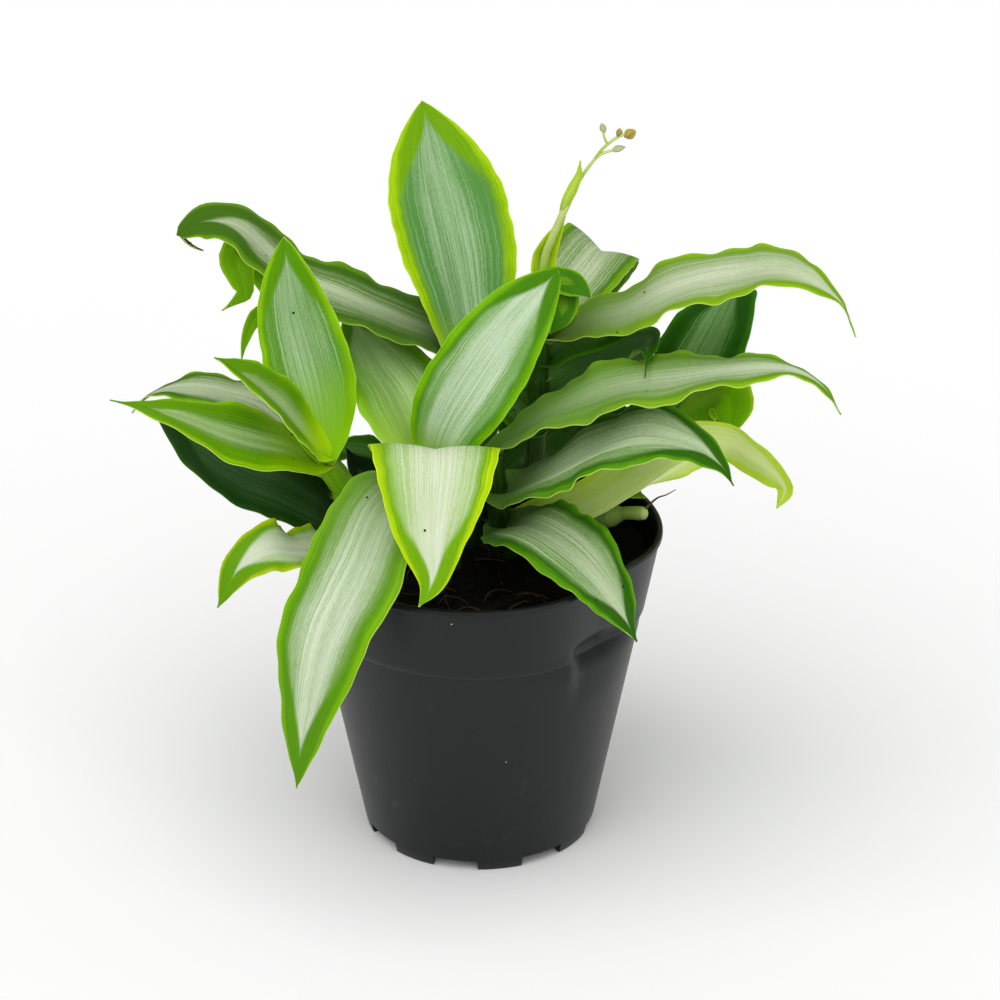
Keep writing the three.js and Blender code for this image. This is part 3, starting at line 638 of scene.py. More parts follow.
def dented(points):
    """The points pushed inwards by the dent under the rim and by the crease along the collar's foot."""
    x, y, z = points.T
    angle = np.degrees(np.arctan2(y, x))
    around = np.exp(-(((angle - DENT_DEG) / DENT_SPREAD_DEG) ** 2))
    push = DENT_DEPTH * around * smoothstep(z, DENT_LOW, DENT_HIGH)
    start = smoothstep(angle, CREASE_FROM_DEG, CREASE_FROM_DEG + CREASE_EDGE_DEG)
    fade = 1 - smoothstep(angle, CREASE_FROM_DEG + CREASE_LEVEL_DEG, CREASE_TO_DEG)
    below = smoothstep(z, CREASE_FOOT, COLLAR_FOOT)
    above = 1 - smoothstep(z, COLLAR_FOOT + 1, CREASE_TOP)
    crease = CREASE_DEPTH * start * fade * np.minimum(below, above)
    scale = np.where(np.hypot(x, y) < 1, 1, 1 - (push + crease) / RIM_RADIUS)
    return np.stack([x * scale, y * scale, z], 1)


def turned(profile, segments):
    """A closed body of revolution from (radius, height) pairs, dented, its two ends closed by fans."""
    angle = 2 * np.pi * np.arange(segments) / segments
    rings = [np.stack([r * np.cos(angle), r * np.sin(angle), np.full(segments, z)], 1) for r, z in profile]
    points = dented(np.concatenate(rings + [[[0, 0, profile[0][1]], [0, 0, profile[-1][1]]]]))
    at = np.arange(len(profile) * segments).reshape(len(profile), segments)
    after = np.roll(at, -1, axis=1)
    faces = np.stack([at[:-1], after[:-1], after[1:], at[1:]], -1).reshape(-1, 4).tolist()
    ends = len(profile) * segments
    faces += [[ends, b, a] for a, b in zip(at[0], after[0])]
    faces += [[ends + 1, a, b] for a, b in zip(at[-1], after[-1])]
    return points, faces


def rounded_profile():
    """Radius and height from the foot, up the outside, over the rim and down the inside to the floor."""
    inside_foot, collar = BASE_RADIUS - FOOT_DEPTH, wall_radius(COLLAR_FOOT)
    return [
        (inside_foot, FOOT_HEIGHT), (inside_foot, 0.3), (inside_foot + 0.3, 0), (BASE_RADIUS - 0.5, 0),
        (BASE_RADIUS, 0.5),
        *((outer_radius(z), z) for z in WALL_ROWS),
        (collar + COLLAR_STEP * 0.7, COLLAR_FOOT + 0.05), (collar + COLLAR_STEP, COLLAR_FOOT + 0.5),
        *((outer_radius(z), z) for z in COLLAR_ROWS),
        (RIM_RADIUS - 0.3, RIM_FOOT + 0.05), (RIM_RADIUS, RIM_FOOT + 0.4), (RIM_RADIUS, POT_HEIGHT - 0.6),
        (RIM_RADIUS - 0.25, POT_HEIGHT - 0.2), (RIM_RADIUS - 0.8, POT_HEIGHT),
        (RIM_RADIUS - 1.6, POT_HEIGHT - 0.02), (RIM_RADIUS - 1.95, POT_HEIGHT - 0.5),
        *((inner_radius(z), z) for z in (*INNER_ROWS, FLOOR_TOP + 0.6)),
        (inner_radius(FLOOR_TOP) - 0.6, FLOOR_TOP),
    ]


def cutters():
    """The notches between the feet and the drain holes, as one mesh."""
    made = bmesh.new()
    for k in range(FOOT_COUNT):
        turn = Matrix.Rotation(math.radians(FIRST_NOTCH_DEG + 360 * k / FOOT_COUNT), 4, "Z")
        notch = Matrix.Translation((BASE_RADIUS - FOOT_DEPTH / 2, 0, 0)) @ Matrix.Diagonal(
            (4 * FOOT_DEPTH, NOTCH_WIDTH, 2 * (FOOT_HEIGHT - NOTCH_SHORT), 1))
        bmesh.ops.create_cube(made, size=1, matrix=turn @ notch)
        hole = Matrix.Translation((DRAIN_CIRCLE, 0, FOOT_HEIGHT))
        bmesh.ops.create_cone(made, cap_ends=True, segments=32, radius1=DRAIN_RADIUS, radius2=DRAIN_RADIUS,
                              depth=4 * FLOOR, matrix=turn @ hole)
    mesh = bpy.data.meshes.new("cutters")
    bmesh.ops.scale(made, vec=(MM, MM, MM), verts=made.verts)
    made.to_mesh(mesh)
    made.free()
    return placed("cutters", mesh)


def make_pot():
    points, faces = turned(rounded_profile(), POT_SEGMENTS)
    pot = piece("pot_shell", points, faces, [POT], "pot", sharp=60)
    tool = cutters()
    cut = pot.modifiers.new("cuts", "BOOLEAN")
    cut.object, cut.solver, cut.operation = tool, "EXACT", "DIFFERENCE"
    bpy.context.view_layer.update()
    whole = pot.evaluated_get(bpy.context.evaluated_depsgraph_get())
    mesh = bpy.data.meshes.new_from_object(whole)
    pot.modifiers.clear()
    pot.data = mesh
    bpy.data.objects.remove(tool)
    mesh.shade_smooth()
    mesh.set_sharp_from_angle(angle=math.radians(CUT_EDGE_DEG))


# Soil: a bed with a lumpy top, crumbs and thin dead roots lying on it

SMALL_LUMPS, SMALL_LUMP_HEIGHT = 0.22, 0.9
CRUMB_MARGIN, CRUMB_INSET, CRUMB_RAISED = 4.5, 4, 0.15
CRUMB_LEAST, CRUMB_SPREAD = 0.45, 1.5
CRUMB_STRETCH, CRUMB_UNEVEN, CRUMB_DETAIL = (0.55, 1.1), 0.45, 1.3
FIBRE_MARGIN, FIBRE_KNOTS, FIBRE_ROWS, FIBRE_SIDES = 9, 7, 22, 6
FIBRE_BEND, FIBRE_STEP, FIBRE_RISE = (-0.35, 0.35), (1.2, 2.4), (0.2, 1.6)
FIBRE_RADII, FIBRE_GIRTH = (0.3, 0.14), (0.6, 1.2)


def broad_lumps(x, y):
    """The soil's uneven top, the same as in the CAD source."""
    return np.sin(0.31 * x + 1.3) * np.cos(0.27 * y) + 0.6 * np.sin(0.13 * x - 0.19 * y)


def soil_height(x, y):
    base = SOIL_LEVEL + broad_lumps(x, y)
    small = noise.fractal(Vector((x * SMALL_LUMPS, y * SMALL_LUMPS, 3.1)), 0.9, 2.1, 5)
    return base + SMALL_LUMP_HEIGHT * small


def make_soil():
    edge = inner_radius(SOIL_LEVEL - 1) - SOIL_GAP
    side = [(inner_radius(z) - SOIL_GAP, z) for z in (FLOOR_TOP + 0.3, *SOIL_ROWS)]
    top = [(edge * math.sqrt(1 - k / SOIL_RINGS), SOIL_LEVEL) for k in range(SOIL_RINGS)]
    points, faces = turned(side + top, SOIL_SEGMENTS)
    on_top = np.abs(points[:, 2] - SOIL_LEVEL) < 1e-6
    points[on_top, 2] = [soil_height(x, y) for x, y, _ in points[on_top]]
    piece("soil_bed", points, faces, [PEAT], "soil", sharp=80)


def ball(subdivisions):
    """The points and faces of a round body of radius 1."""
    made = bmesh.new()
    bmesh.ops.create_icosphere(made, subdivisions=subdivisions, radius=1)
    points, faces = [v.co.copy() for v in made.verts], [[v.index for v in f.verts] for f in made.faces]
    made.free()
    return points, faces


def lump(draw, size):
    """A small uneven stone-like body."""
    points, faces = ball(2)
    stretch = draw.uniform(*CRUMB_STRETCH, 3)
    shift = Vector(draw.uniform(-40, 40, 3))
    uneven = [p * (1 + CRUMB_UNEVEN * noise.noise(p * CRUMB_DETAIL + shift)) for p in points]
    points = np.array(uneven) * stretch * size
    spin = np.array(Matrix.Rotation(draw.uniform(0, math.pi), 3, Vector(unit(draw.normal(size=3)))))
    return points @ spin.T, faces


def make_crumbs():
    draw = np.random.default_rng(CRUMB_SEED)
    heap = Heap()
    reach = inner_radius(SOIL_LEVEL) - CRUMB_MARGIN
    while len(heap.points) < CRUMB_COUNT:
        x, y = draw.uniform(-reach, reach, 2)
        if math.hypot(x, y) > reach - CRUMB_INSET:
            continue
        size = CRUMB_LEAST + CRUMB_SPREAD * draw.random() ** 3
        points, faces = lump(draw, size)
        heap.add(points + [x, y, soil_height(x, y) + size * CRUMB_RAISED], faces)
    heap.piece("soil_crumbs", [CRUMB], "peat", sharp=80)


def make_fibres():
    draw = np.random.default_rng(FIBRE_SEED)
    heap = Heap()
    reach = inner_radius(SOIL_LEVEL) - FIBRE_MARGIN
    last = FIBRE_KNOTS - 1
    for _ in range(FIBRE_COUNT):
        angle, far = draw.uniform(0, 2 * math.pi), reach * math.sqrt(draw.random())
        x, y, heading = far * math.cos(angle), far * math.sin(angle), draw.uniform(0, 2 * math.pi)
        bend, step, rise = (draw.uniform(*limits) for limits in (FIBRE_BEND, FIBRE_STEP, FIBRE_RISE))
        knots = []
        for k in range(FIBRE_KNOTS):
            sunk = 0.5 if k in (0, last) else -0.2
            knots.append([x, y, soil_height(x, y) + rise * math.sin(math.pi * k / last) - sunk])
            heading += bend
            x, y = x + step * math.cos(heading), y + step * math.sin(heading)
            far = math.hypot(x, y)
            if far > reach + 2:
                x, y = x * (reach + 2) / far, y * (reach + 2) / far
        places, along, _ = curve(knots, FIBRE_ROWS)
        radii = np.linspace(*FIBRE_RADII, FIBRE_ROWS) * draw.uniform(*FIBRE_GIRTH)
        heap.add(*tube(places, along, radii, FIBRE_SIDES))
    heap.piece("soil_fibres", [FIBRE], "peat", sharp=80)


make_pot()
make_soil()
make_crumbs()
make_fibres()


# Shoots: where each stem stands, and each leaf's rib from the stem to its tip, as in the CAD source

def blade(look, width, rib, **form):
    """A leaf. Its form may give roll and fold in degrees from foot to tip, the depth, count and start of its
    waves, where it is widest (belly), how broad its foot is, how sharp its tip is, and how far it clasps."""
    return dict(look=look, width=width, rib=rib, **form)


SHOOTS = {}
SHOOTS["left_shoot"] = dict(
    path=[[-33, 4, 94], [-40, 0, 109], [-44, -5, 123], [-49, -9, 134]], radius=(4, 3), leaves=[
    blade("lime", 28.5, [[-49, -9, 134], [-51, -5, 153], [-54.5, -1, 168.5], [-58.5, 2, 185],
        [-61, 2, 207.5]], roll=[30, 50, 50], fold=[15, 8], wave=[0.5, 2.5, 0], foot=0.3, tip=0.85),
    blade("slim", 27, [[-49, -8, 132], [-59.5, -16, 142], [-70.5, -22, 148], [-82.5, -26, 154],
        [-93.5, -28, 159.5], [-103.5, -29, 163], [-114.5, -29, 165.5]], roll=[15, 25, 20], fold=[10, 0],
        wave=[0.8, 2.5, 0.2], belly=0.4, tip=1.9),
    blade("slim", 25, [[-49, -10, 136], [-57, -17, 150.5], [-63.5, -22, 161.5], [-72, -26, 172],
        [-81.5, -29, 180]], roll=[35, 25], fold=[20, 10], wave=[0.4, 3, 0]),
    blade("deep_shade", 27, [[-38, 1, 104], [-62, 1, 120.5], [-75, 2, 126], [-88, 5, 132.5], [-98, 8, 140],
        [-107, 12, 146]], roll=[25, 30, 30], fold=[5, 0], wave=[0.8, 3, 0], foot=0.5),
    blade("grey", 26, [[-43, -3, 120], [-58, 12, 131], [-71, 20, 140], [-85, 25, 143], [-98, 27, 144],
        [-108, 28, 141], [-114, 28, 135]], roll=[0, 5], fold=[10, 5], wave=[1.2, 4, 0.3]),
    blade("worn", 22, [[-37, 1, 105], [-46, -18, 108], [-57, -32, 114], [-66, -40, 119], [-75, -43, 114],
        [-82, -45, 101]], roll=[0, 10, 30, 30], fold=[15, 10], wave=[2.2, 3.5, 0.1]),
])
SHOOTS["front_shoot"] = dict(
    path=[[-9, -10, 95], [-11, -13, 111], [-14, -15, 124], [-15, -16, 135]], radius=(4.2, 3.2), leaves=[
    blade("hanging", 37, [[-12, -14, 113], [-21, -30, 134.5], [-29.5, -45, 135.5], [-37, -54, 120.5],
        [-48, -63, 99], [-54, -69, 74], [-57, -72, 51]], fold=[10, 0], wave=[0.8, 4.5, 0.2], belly=0.5),
    blade("cream", 40.5, [[-14, -16, 126], [-14, -34, 148], [-13, -48, 157], [-13, -58, 154],
        [-14, -66, 139], [-14, -71, 124], [-18, -73, 116]], fold=[12, 0, -4], wave=[0.4, 2.5, 0], belly=0.36,
        clasp=30),
    blade("silver", 30, [[-15, -16, 132], [-10, -17, 150], [0, -16, 168], [12, -13, 186], [25, -9, 201]],
        roll=[-40, -62, -65], fold=[15, 5], wave=[0.7, 3, 0], tip=0.7),
    blade("soft", 35, [[-15, -15, 130], [-24.5, 4, 149], [-31.5, 15, 156], [-39, 27, 163.5],
        [-44, 35, 169.5]], fold=[20, 8], wave=[0.6, 3, 0.3]),
])
SHOOTS["middle_shoot"] = dict(
    path=[[-3, 10, 94], [-3, 12, 115], [-4, 13, 136], [-4, 13, 152]], radius=(4.4, 3), sheaths=4, leaves=[
    blade("tall", 41, [[-4, 13, 150], [-3, 19, 165], [-7, 33, 186.5], [-13, 46, 209.5], [-18.5, 58, 232.5]],
        fold=[25, 6], wave=[0.6, 3, 0], belly=0.58, foot=0.3, tip=0.9),
    blade("shadowed", 30, [[-4, 13, 149], [-12.5, 19, 164.5], [-25.5, 22, 170], [-41.5, 24, 176],
        [-57.5, 26, 182.5], [-68, 28, 191.5], [-77.5, 30, 200], [-88.5, 31, 201], [-97, 29, 197.5]],
        roll=[10, 20, 10, 12, 2, 12, 30], fold=[15, 0], wave=[1, 4.5, 0.1], belly=0.5, foot=0.25, tip=0.55),
    blade("deep_shade", 18, [[-4, 13, 132], [-17.5, 22, 141.5], [-24.5, 28, 147.5], [-30, 33, 153],
        [-36, 38, 157.5]]),
    blade("deep_shade", 28, [[-3, 12, 109], [-24.5, 14, 110], [-33, 15, 113.5], [-40, 15, 120.5],
        [-43.5, 15, 128.5]], roll=[10, 20], fold=[10, 5], wave=[0.5, 2, 0]),
    blade("shaded", 28, [[-4, 13, 118], [-5, 32, 128], [-6, 52, 129], [-8, 70, 116], [-9, 76, 100]]),
    blade("dark", 28, [[-3, 12, 108], [22, 34, 119.5], [35, 34, 128], [44, 33, 132.5], [51.5, 32, 134]],
        roll=[-10, -30, -40], wave=[0.6, 3, 0], foot=0.25),
])
SHOOTS["flower_shoot"] = dict(
    path=[[16, 8, 94], [18, 10, 119], [19, 10, 148], [20, 9, 173], [20, 9, 188]], radius=(4.2, 2.2),
    sheaths=5, leaves=[
    blade("pale", 36, [[20, 9, 166], [35.5, 7, 176], [46.5, 4, 180], [57.5, 0, 188], [69.5, -4, 194.5],
        [82, -8, 198.5], [91.5, -12, 202], [99.5, -17, 203], [106, -20, 200.5], [113, -23, 194.5],
        [117, -26, 185.5]], roll=[-8, -14, -14, -6, -20, -10], fold=[10, 0], wave=[1.3, 4, 0.4], belly=0.5,
        tip=2.8),
    blade("grey", 30, [[20, 9, 171], [27, 26, 176], [34, 40, 180.5], [40, 54, 181.5], [42.5, 66, 169],
        [42.5, 72, 154]], roll=[-5, -15, -20], fold=[20, 14], wave=[1, 3, 0]),
    blade("young", 10, [[19, 9, 187], [19, 4, 192.5], [26, 0, 193.5], [31.5, -4, 193], [35.5, -7, 191]],
        roll=[-20, -40], fold=[10, 0], wave=[0.3, 2, 0], belly=0.6, foot=0.6),
    blade("young", 12, [[20, 9, 187], [24.5, 1, 189.5], [26.5, -4, 187], [25.5, -7, 183], [22.5, -8, 179]],
        roll=[0, 20], fold=[15, 0], wave=[0.4, 2, 0]),
    blade("dark", 42, [[19, 10, 140], [23.5, 5, 148.5], [33, 8, 153.5], [43.5, 9, 160.5], [51.5, 4, 167.5],
        [53.5, -8, 173], [52, -24, 171]], roll=[-35, -40, -35, -22, 0, 0], fold=[10, 5], wave=[0.7, 3, 0],
        belly=0.25, foot=0.75, tip=3),
    blade("dark", 32, [[18, 10, 136], [15, 28, 142], [12, 48, 144], [9, 66, 134], [8, 76, 118]], foot=0.75),
    blade("dark", 27, [[19, 10, 140], [31, 28, 150], [42, 44, 152], [49, 60, 142], [50, 71, 128]]),
    blade("bract", 9.5, [[20, 9, 186], [20.5, 12.5, 196], [22.5, 12.5, 201.5], [25, 12.5, 206],
        [27.5, 12.5, 210.5]], roll=[-72, -72], fold=[35, 30], wave=[0, 1, 0], belly=0.3, foot=0.8, clasp=10),
    blade("bract", 3.8, [[26, 10, 211], [27.5, 8.5, 216.5], [29.5, 8.3, 221], [31.5, 8.4, 226],
        [32, 9, 230.5]], roll=[90, 90], fold=[35, 20], wave=[0, 1, 0], foot=0.5, clasp=20),
], twigs=[
    dict(path=[[20, 9, 184], [21, 10.5, 196.5], [23, 10.5, 203], [25, 10.5, 208], [26.5, 10, 212],
         [28.5, 10, 216.5]], radius=(1.6, 1.1)),
    dict(path=[[27.5, 10, 215], [30.5, 10, 221], [33, 10, 225.5], [36.5, 10, 230.5], [39, 10, 232.5],
         [42, 10, 233.5]], radius=(0.7, 0.45)),
    dict(path=[[36.5, 10, 230.5], [38.5, 10, 233.5], [40.5, 10, 235.5], [43, 10, 237.5], [46, 10, 239]],
         radius=(0.5, 0.45)),
    dict(path=[[40.5, 10, 235.5], [39.5, 10, 237.5], [39, 10, 240]], radius=(0.4, 0.35)),
], buds=[
    dict(centre=[44, 10, 234], length=4.4, width=1.8, tilt=72, kind=2),
    dict(centre=[47.5, 10, 239], length=4, width=3.4, tilt=60, kind=1),
    dict(centre=[44, 10, 239.5], length=2.8, width=1.7, tilt=10, kind=1),
    dict(centre=[39, 10, 241], length=3.2, width=1.8, tilt=-20, kind=2),
])
SHOOTS["right_shoot"] = dict(
    path=[[9, 0, 96], [7, -4, 110], [6, -8, 124], [4, -10, 138]], radius=(4.2, 3), leaves=[
    blade("long", 32, [[4, -10, 135], [13, -14, 147], [26, -18, 157], [44, -22, 166], [63, -24, 170],
        [81, -26, 174], [97, -28, 175], [107, -29, 170], [113, -30, 161]], roll=[0, -12, 0, 0], fold=[10, 0],
        wave=[1.3, 5, 0.1], belly=0.5, tip=1.8),
    blade("shaded", 33, [[6, -8, 121], [20, -22, 135], [35, -30, 148], [50.5, -36, 157], [66, -42, 156.5],
        [75, -46, 151], [79, -48, 145]], roll=[0, -20, -20, -10], fold=[8, 0], wave=[1.3, 4, 0.2], belly=0.5,
        foot=0.55, tip=1.4),
    blade("shaded", 31, [[7, -4, 108], [16, -26, 120], [29, -38, 118], [41, -45, 107], [50, -49, 91]],
        roll=[-10, -5], fold=[10, 0], wave=[1.1, 4, 0.5]),
    blade("lit_yellow", 29, [[8, -2, 103], [21.5, -6, 109], [36, -9, 114.5], [50, -10, 124], [64.5, -10, 135],
        [77.5, -11, 141.5], [87, -14, 138], [94.5, -17, 133], [97.5, -18, 129], [95, -19, 123]],
        roll=[55, 65, 65, 62, 66, 72, 58, 54, 66, 60], fold=[40, 44, 50, 54, 35, 5, 0, 0], wave=[0.4, 3, 0],
        belly=0.5, foot=0.6, tip=1),
])
SHOOTS["back_right_shoot"] = dict(
    path=[[36, 29, 94], [42, 29, 108], [47, 29, 122]], radius=(4, 3), leaves=[
    blade("dusk_shade", 35, [[48, 29, 120], [67, 33, 137.5], [73.5, 38, 151.5], [80, 45, 162.5], [84.5, 54, 168],
        [89, 66, 164.5]], roll=[-10, 0], fold=[10, 5], wave=[0.6, 3, 0]),
    blade("green", 25, [[46, 29, 114], [57, 27, 125.5], [69, 22, 139.5], [75, 16, 147], [79, 11, 150],
        [81.5, 8, 147.5], [81.5, 7, 143], [81, 7, 137]], roll=[0, 0, 0, -25, -60, -70, -70], fold=[10, 0],
        wave=[0.4, 2, 0], belly=0.5, foot=0.5, tip=0.8),
    blade("silver", 28, [[43, 29, 109], [48, 46, 118], [54, 63, 113], [58, 76, 98]]),
    blade("shaded", 28, [[47, 29, 117], [62, 36, 124], [80, 44, 116], [92, 50, 102]]),
])
SHOOTS["back_left_shoot"] = dict(
    path=[[-18, 28, 96], [-22, 32, 112], [-27, 36, 131]], radius=(4, 3), leaves=[
    blade("green", 18, [[-27, 36, 130], [-52.5, 40, 154], [-63.5, 44, 175.5], [-74, 45, 185.5],
        [-78.5, 42, 184], [-77.5, 39, 178.5], [-76.5, 37, 174], [-79, 37, 171.5], [-84, 36, 168]],
        roll=[0, 0, 10, 50, 90, 90, 90, 90], fold=[15, 0], wave=[0.3, 2, 0], belly=0.6, foot=0.6, tip=1.4),
    blade("green", 7, [[-26, 35, 126], [-49, 38, 146], [-62, 38, 161], [-70.5, 37, 167], [-74.5, 35, 163.5],
        [-77, 34, 156.5], [-78, 34, 151]], roll=[0, 20, 90, 90], fold=[15, 5], wave=[0.3, 2, 0], belly=0.6),
    blade("lime", 28, [[-25, 34, 122], [-38, 52, 136], [-54, 66, 136], [-66, 76, 120]]),
    blade("dark", 17, [[-21, 31, 108], [-33, 40, 112], [-46, 46, 112.5], [-62, 50, 105], [-76, 52, 92]]),
])

# Small leaves deep between the others, coloured dark as painted shade, which close gaps that lie in shadow
SHADE_FILL_FORM = dict(fold=[15, 10], wave=[0.2, 2, 0], foot=0.6)
SHADE_FILL_LEAVES = [
    ("flower_shoot", blade("dark", 17, [[19, 9, 138], [14, 6, 145], [8, 4, 151], [0, 2, 156]],
                           roll=[40, 55, 60], **SHADE_FILL_FORM)),
    ("flower_shoot", blade("dark", 14, [[20, 10, 160], [29, 12, 168], [40, 13, 170], [51, 13, 171]],
                           roll=[-40, -50, -50], **SHADE_FILL_FORM)),
    ("back_right_shoot", blade("dusk_shade", 11, [[57, 30, 125], [67, 30, 130], [75, 28, 132], [80.5, 27, 131]],
                               roll=[-40, -50, -50], **SHADE_FILL_FORM)),
]

# The dried end of the middle shoot's second leaf, finer than the CAD part's least thickness
DRY_TIP = blade("dry", 2.6, [[-96.3, 29, 197.5], [-93.8, 29, 194.4], [-91.2, 29, 192.8], [-88.6, 29, 192]],
                fold=[30, 20], wave=[0.1, 2, 0], foot=0.6)

# The stump of a stem that was cut, with the rest of its sheath and a dry root that stands up beside it
DRY_ROOT_PATH = [[54.2, 6, 110.8], [58, 7, 114], [61, 7.5, 115], [64.2, 8, 116.7]]
DRY_ROOT_ROWS, DRY_ROOT_SIDES, DRY_ROOT_RADII = 40, 10, (0.45, 0.12)
STUMP = dict(path=[[36, 17, 94], [39, 15, 102], [47, 10, 107], [54.5, 5, 109.5]], radius=(3.8, 2.1))
STUMP_SHEATH = blade("slim", 10, [[39, 15, 102], [44, 13, 110], [48.5, 10, 115], [54, 7, 114]],
                     roll=[-20, -30], fold=[25, 15], wave=[0.2, 2, 0], belly=0.5, foot=0.7)


def rooted(path):
    """A stem's path, led on down into the soil."""
    x, y, z = path[0]
    below = SOIL_LEVEL - ROOT_DEPTH
    return [[x + (x - path[1][0]) * ROOT_SLANT, y, below], [x, y, max(z, SOIL_LEVEL - 2)], *path[1:]]


def sheath_profile(shoot, count):
    """Radii along a stem, whose sheaths widen to their mouths, and where those mouths are."""
    low, high = shoot["radius"]
    sheaths = shoot.get("sheaths", 3)
    stations, mouths = [(0, low)], []
    for k in range(sheaths):
        start, end = (FIRST_SHEATH + (1 - FIRST_SHEATH) * n / sheaths for n in (k, k + 1))
        wide = low + (high - low) * end
        stations += [(start + MOUTH_LENGTH, low + (high - low) * start),
                     (end - MOUTH_LENGTH, wide * MOUTH_GIRTH), (end - LIP_LENGTH, wide * LIP_GIRTH)]
        mouths.append(end - MOUTH_LENGTH)
    stations.append((1, high * TOP_GIRTH))
    return np.interp(np.linspace(0, 1, count), *zip(*stations)), mouths


HAIR_LENGTH, HAIR_RADII, HAIR_SIDES = (1.2, 2.6), (0.075, 0.05, 0.015), 4
HAIR_ALONG, HAIR_OUT, HAIR_SUNK = (0.5, 1), (0.3, 0.9), 0.97


def add_hairs(heap, places, along, radii, at, draw):
    """Fine pale hairs round the mouth of a sheath."""
    k = round(at * (len(places) - 1))
    across, third = square_to(along[k])
    for _ in range(HAIR_COUNT):
        angle = draw.uniform(0, 2 * math.pi)
        out = across * math.cos(angle) + third * math.sin(angle)
        root = places[k] + out * radii[k] * HAIR_SUNK
        lean = unit(along[k] * draw.uniform(*HAIR_ALONG) + out * draw.uniform(*HAIR_OUT))
        tip = root + lean * draw.uniform(*HAIR_LENGTH)
        line = np.stack([root, root + (tip - root) * 0.55 + along[k] * 0.1, tip])
        points, faces, leaf = tube(line, unit(np.gradient(line, axis=0)), HAIR_RADII, HAIR_SIDES)
        heap.add(points, faces, leaf, 1)


def make_stem(name, node, shoot, seed):
    path = rooted(shoot["path"])
    count = round(curve(path, 2)[2] / STEM_ROW)
    places, along, _ = curve(path, count)
    radii, mouths = sheath_profile(shoot, count)
    heap = Heap()
    heap.add(*tube(places, along, radii, STEM_SIDES))
    draw = np.random.default_rng(seed)
    for mouth in mouths:
        add_hairs(heap, places, along, radii, mouth, draw)
    # Every stem but the left shoot's, which stands in the light, takes the darker copy as painted shade.
    green = STEM if node == "left_shoot" else SHADED_STEM
    heap.piece(name, [green, HAIR], "stem", node, sharp=60)


BUD_POINT = 0.35
BUD_RIBS, BUD_RIB_DEPTH = 6, 0.08
HUSKS, HUSK_ROWS, HUSK_SIDES, HUSK_RADIUS, HUSK_REACH = 3, 12, 8, 0.55, 0.42


def make_bud(heap, bud, draw):
    """A pointed, ribbed bud held by thin husks. Its kind is the number of its material."""
    points, faces = ball(3)
    turn = np.array(Matrix.Rotation(math.radians(bud["tilt"]), 3, "Y"))
    base = np.array(points)
    point = 1 - BUD_POINT * np.clip(base[:, 2:], 0, 1)
    ribs = 1 + BUD_RIB_DEPTH * np.cos(BUD_RIBS * np.arctan2(base[:, 1], base[:, 0]))[:, None]
    base[:, :2] *= point * ribs
    width, length, kind = bud["width"], bud["length"], bud["kind"]
    size = np.array([width / 2, width / 2, length / 2])
    heap.add((base * size) @ turn.T + bud["centre"], faces, index=kind)
    swell = HUSK_RADIUS * np.sin(np.linspace(0.5, math.pi - 0.08, HUSK_ROWS))
    for k in range(HUSKS):
        angle = 2 * math.pi * k / HUSKS + draw.random()
        out = np.array([math.cos(angle), math.sin(angle), 0]) * width * HUSK_REACH
        line = np.array([[0, 0, -length / 2], out + [0, 0, -0.1 * length], out * 0.8 + [0, 0, 0.35 * length]])
        places, along, _ = curve((line @ turn.T + bud["centre"]).tolist(), HUSK_ROWS)
        heap.add(*tube(places, along, swell, HUSK_SIDES), index=kind + 2)


def make_flower(node, shoot):
    heap = Heap()
    draw = np.random.default_rng(FLOWER_SEED)
    for twig in shoot["twigs"]:
        places, along, _ = curve(twig["path"], TWIG_ROWS)
        heap.add(*tube(places, along, np.linspace(*twig["radius"], TWIG_ROWS), TWIG_SIDES))
    for bud in shoot["buds"]:
        make_bud(heap, bud, draw)
    heap.piece("flower_stalk", [STALK, BUD, YOUNG_BUD, HUSK, YOUNG_BUD], "stem", node, sharp=60)


def make_stump():
    places, along, _ = curve(rooted(STUMP["path"]), STUMP_ROWS)
    low, high = STUMP["radius"]
    stations = [(0, low), (0.62, low), (0.75, high), (0.93, high * 1.1), (0.98, high), (1, high * TOP_GIRTH)]
    heap = Heap()
    heap.add(*tube(places, along, np.interp(np.linspace(0, 1, STUMP_ROWS), *zip(*stations)), STEM_SIDES))
    root, along, _ = curve(DRY_ROOT_PATH, DRY_ROOT_ROWS)
    heap.add(*tube(root, along, np.linspace(*DRY_ROOT_RADII, DRY_ROOT_ROWS), DRY_ROOT_SIDES), index=1)
    heap.piece("cut_stump_stem", [CUT_STEM, DRY_ROOT], "stem", "cut_stump", sharp=50)
    leaf_piece("cut_stump_sheath", "cut_stump", STUMP_SHEATH, SHEATH_SEED)


seed = 0
for shoot_name, shoot in SHOOTS.items():
    make_stem(shoot_name + "_stem", shoot_name, shoot, STEM_SEED + seed)
    for number, leaf in enumerate(shoot["leaves"], 1):
        seed += 1
        leaf_piece(f"{shoot_name}_leaf_{number}", shoot_name, leaf, seed)
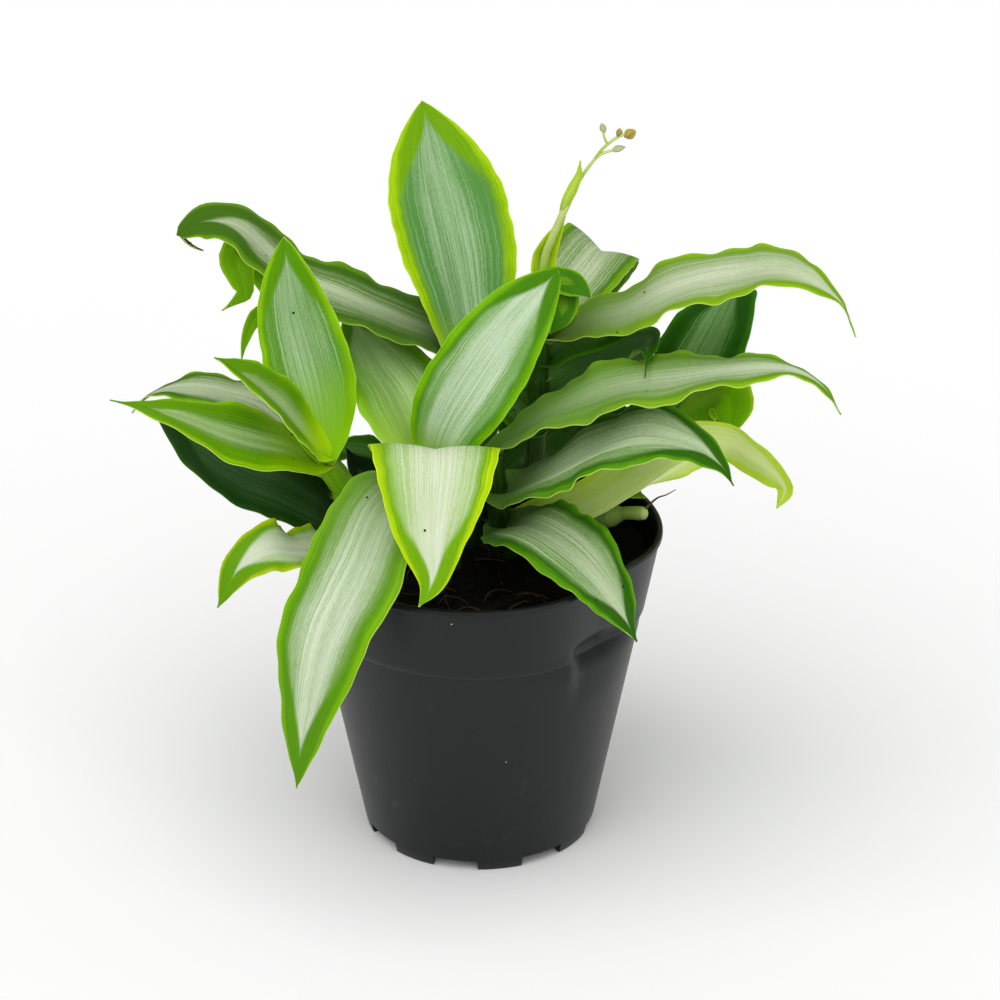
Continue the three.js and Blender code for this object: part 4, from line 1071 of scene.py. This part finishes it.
# The dark leaves of painted shade between the others
for number, (node, leaf) in enumerate(SHADE_FILL_LEAVES, 1):
    leaf_piece(f"{node}_shade_fill_leaf_{number}", node, leaf, SHADE_FILL_SEED + number)
leaf_piece("middle_shoot_dry_tip", "middle_shoot", DRY_TIP, DRY_TIP_SEED)
make_flower("flower_shoot", SHOOTS["flower_shoot"])
make_stump()


# Stage: floor, light and camera

def make_floor():
    mesh = bpy.data.meshes.new("floor")
    corners = [(x * FLOOR_REACH, y * FLOOR_REACH, 0) for x, y in ((-1, -1), (1, -1), (1, 1), (-1, 1))]
    mesh.from_pydata(corners, [], [(0, 1, 2, 3)])
    colour = (FLOOR_TONE, FLOOR_TONE, FLOOR_TONE, 1)
    mesh.materials.append(Graph("floor").surface(colour=colour, roughness=0.9, specular=0.1))
    floor = placed("floor", mesh)


def make_light(name, azimuth, elevation, strength, softness):
    """A far soft lamp. Azimuth 0 is the camera's side and 90 the right. Softness is its width in degrees."""
    turn, rise = math.radians(azimuth), math.radians(elevation)
    towards = Vector((math.sin(turn) * math.cos(rise), -math.cos(turn) * math.cos(rise), math.sin(rise)))
    data = bpy.data.lights.new(name, "SUN")
    data.energy, data.angle = strength, math.radians(softness)
    light = placed(name, data)
    light.location = towards
    light.rotation_euler = (-towards).to_track_quat("-Z", "Y").to_euler()


def make_world(strength):
    world = bpy.data.worlds.new("studio")
    world.use_nodes = True
    background = world.node_tree.nodes["Background"]
    background.inputs["Color"].default_value = (1, 1, 1, 1)
    background.inputs["Strength"].default_value = strength
    bpy.context.scene.world = world


def make_camera():
    elevation = math.radians(CAMERA_ELEVATION_DEG)
    back = Vector((0, -math.cos(elevation), math.sin(elevation)))
    data = bpy.data.cameras.new("camera")
    data.sensor_width, data.lens = SENSOR, LENS
    camera = placed("camera", data)
    camera.location = Vector(CAMERA_TARGET) * MM + back * CAMERA_DISTANCE
    camera.rotation_euler = (-back).to_track_quat("-Z", "Y").to_euler()
    bpy.context.scene.camera = camera


make_floor()
make_world(strength=0.5)
make_light("key", azimuth=-24, elevation=62, strength=1.75, softness=75)
make_light("fill", azimuth=40, elevation=6, strength=0.6, softness=60)
make_camera()
bpy.context.scene.view_settings.view_transform = "Standard"
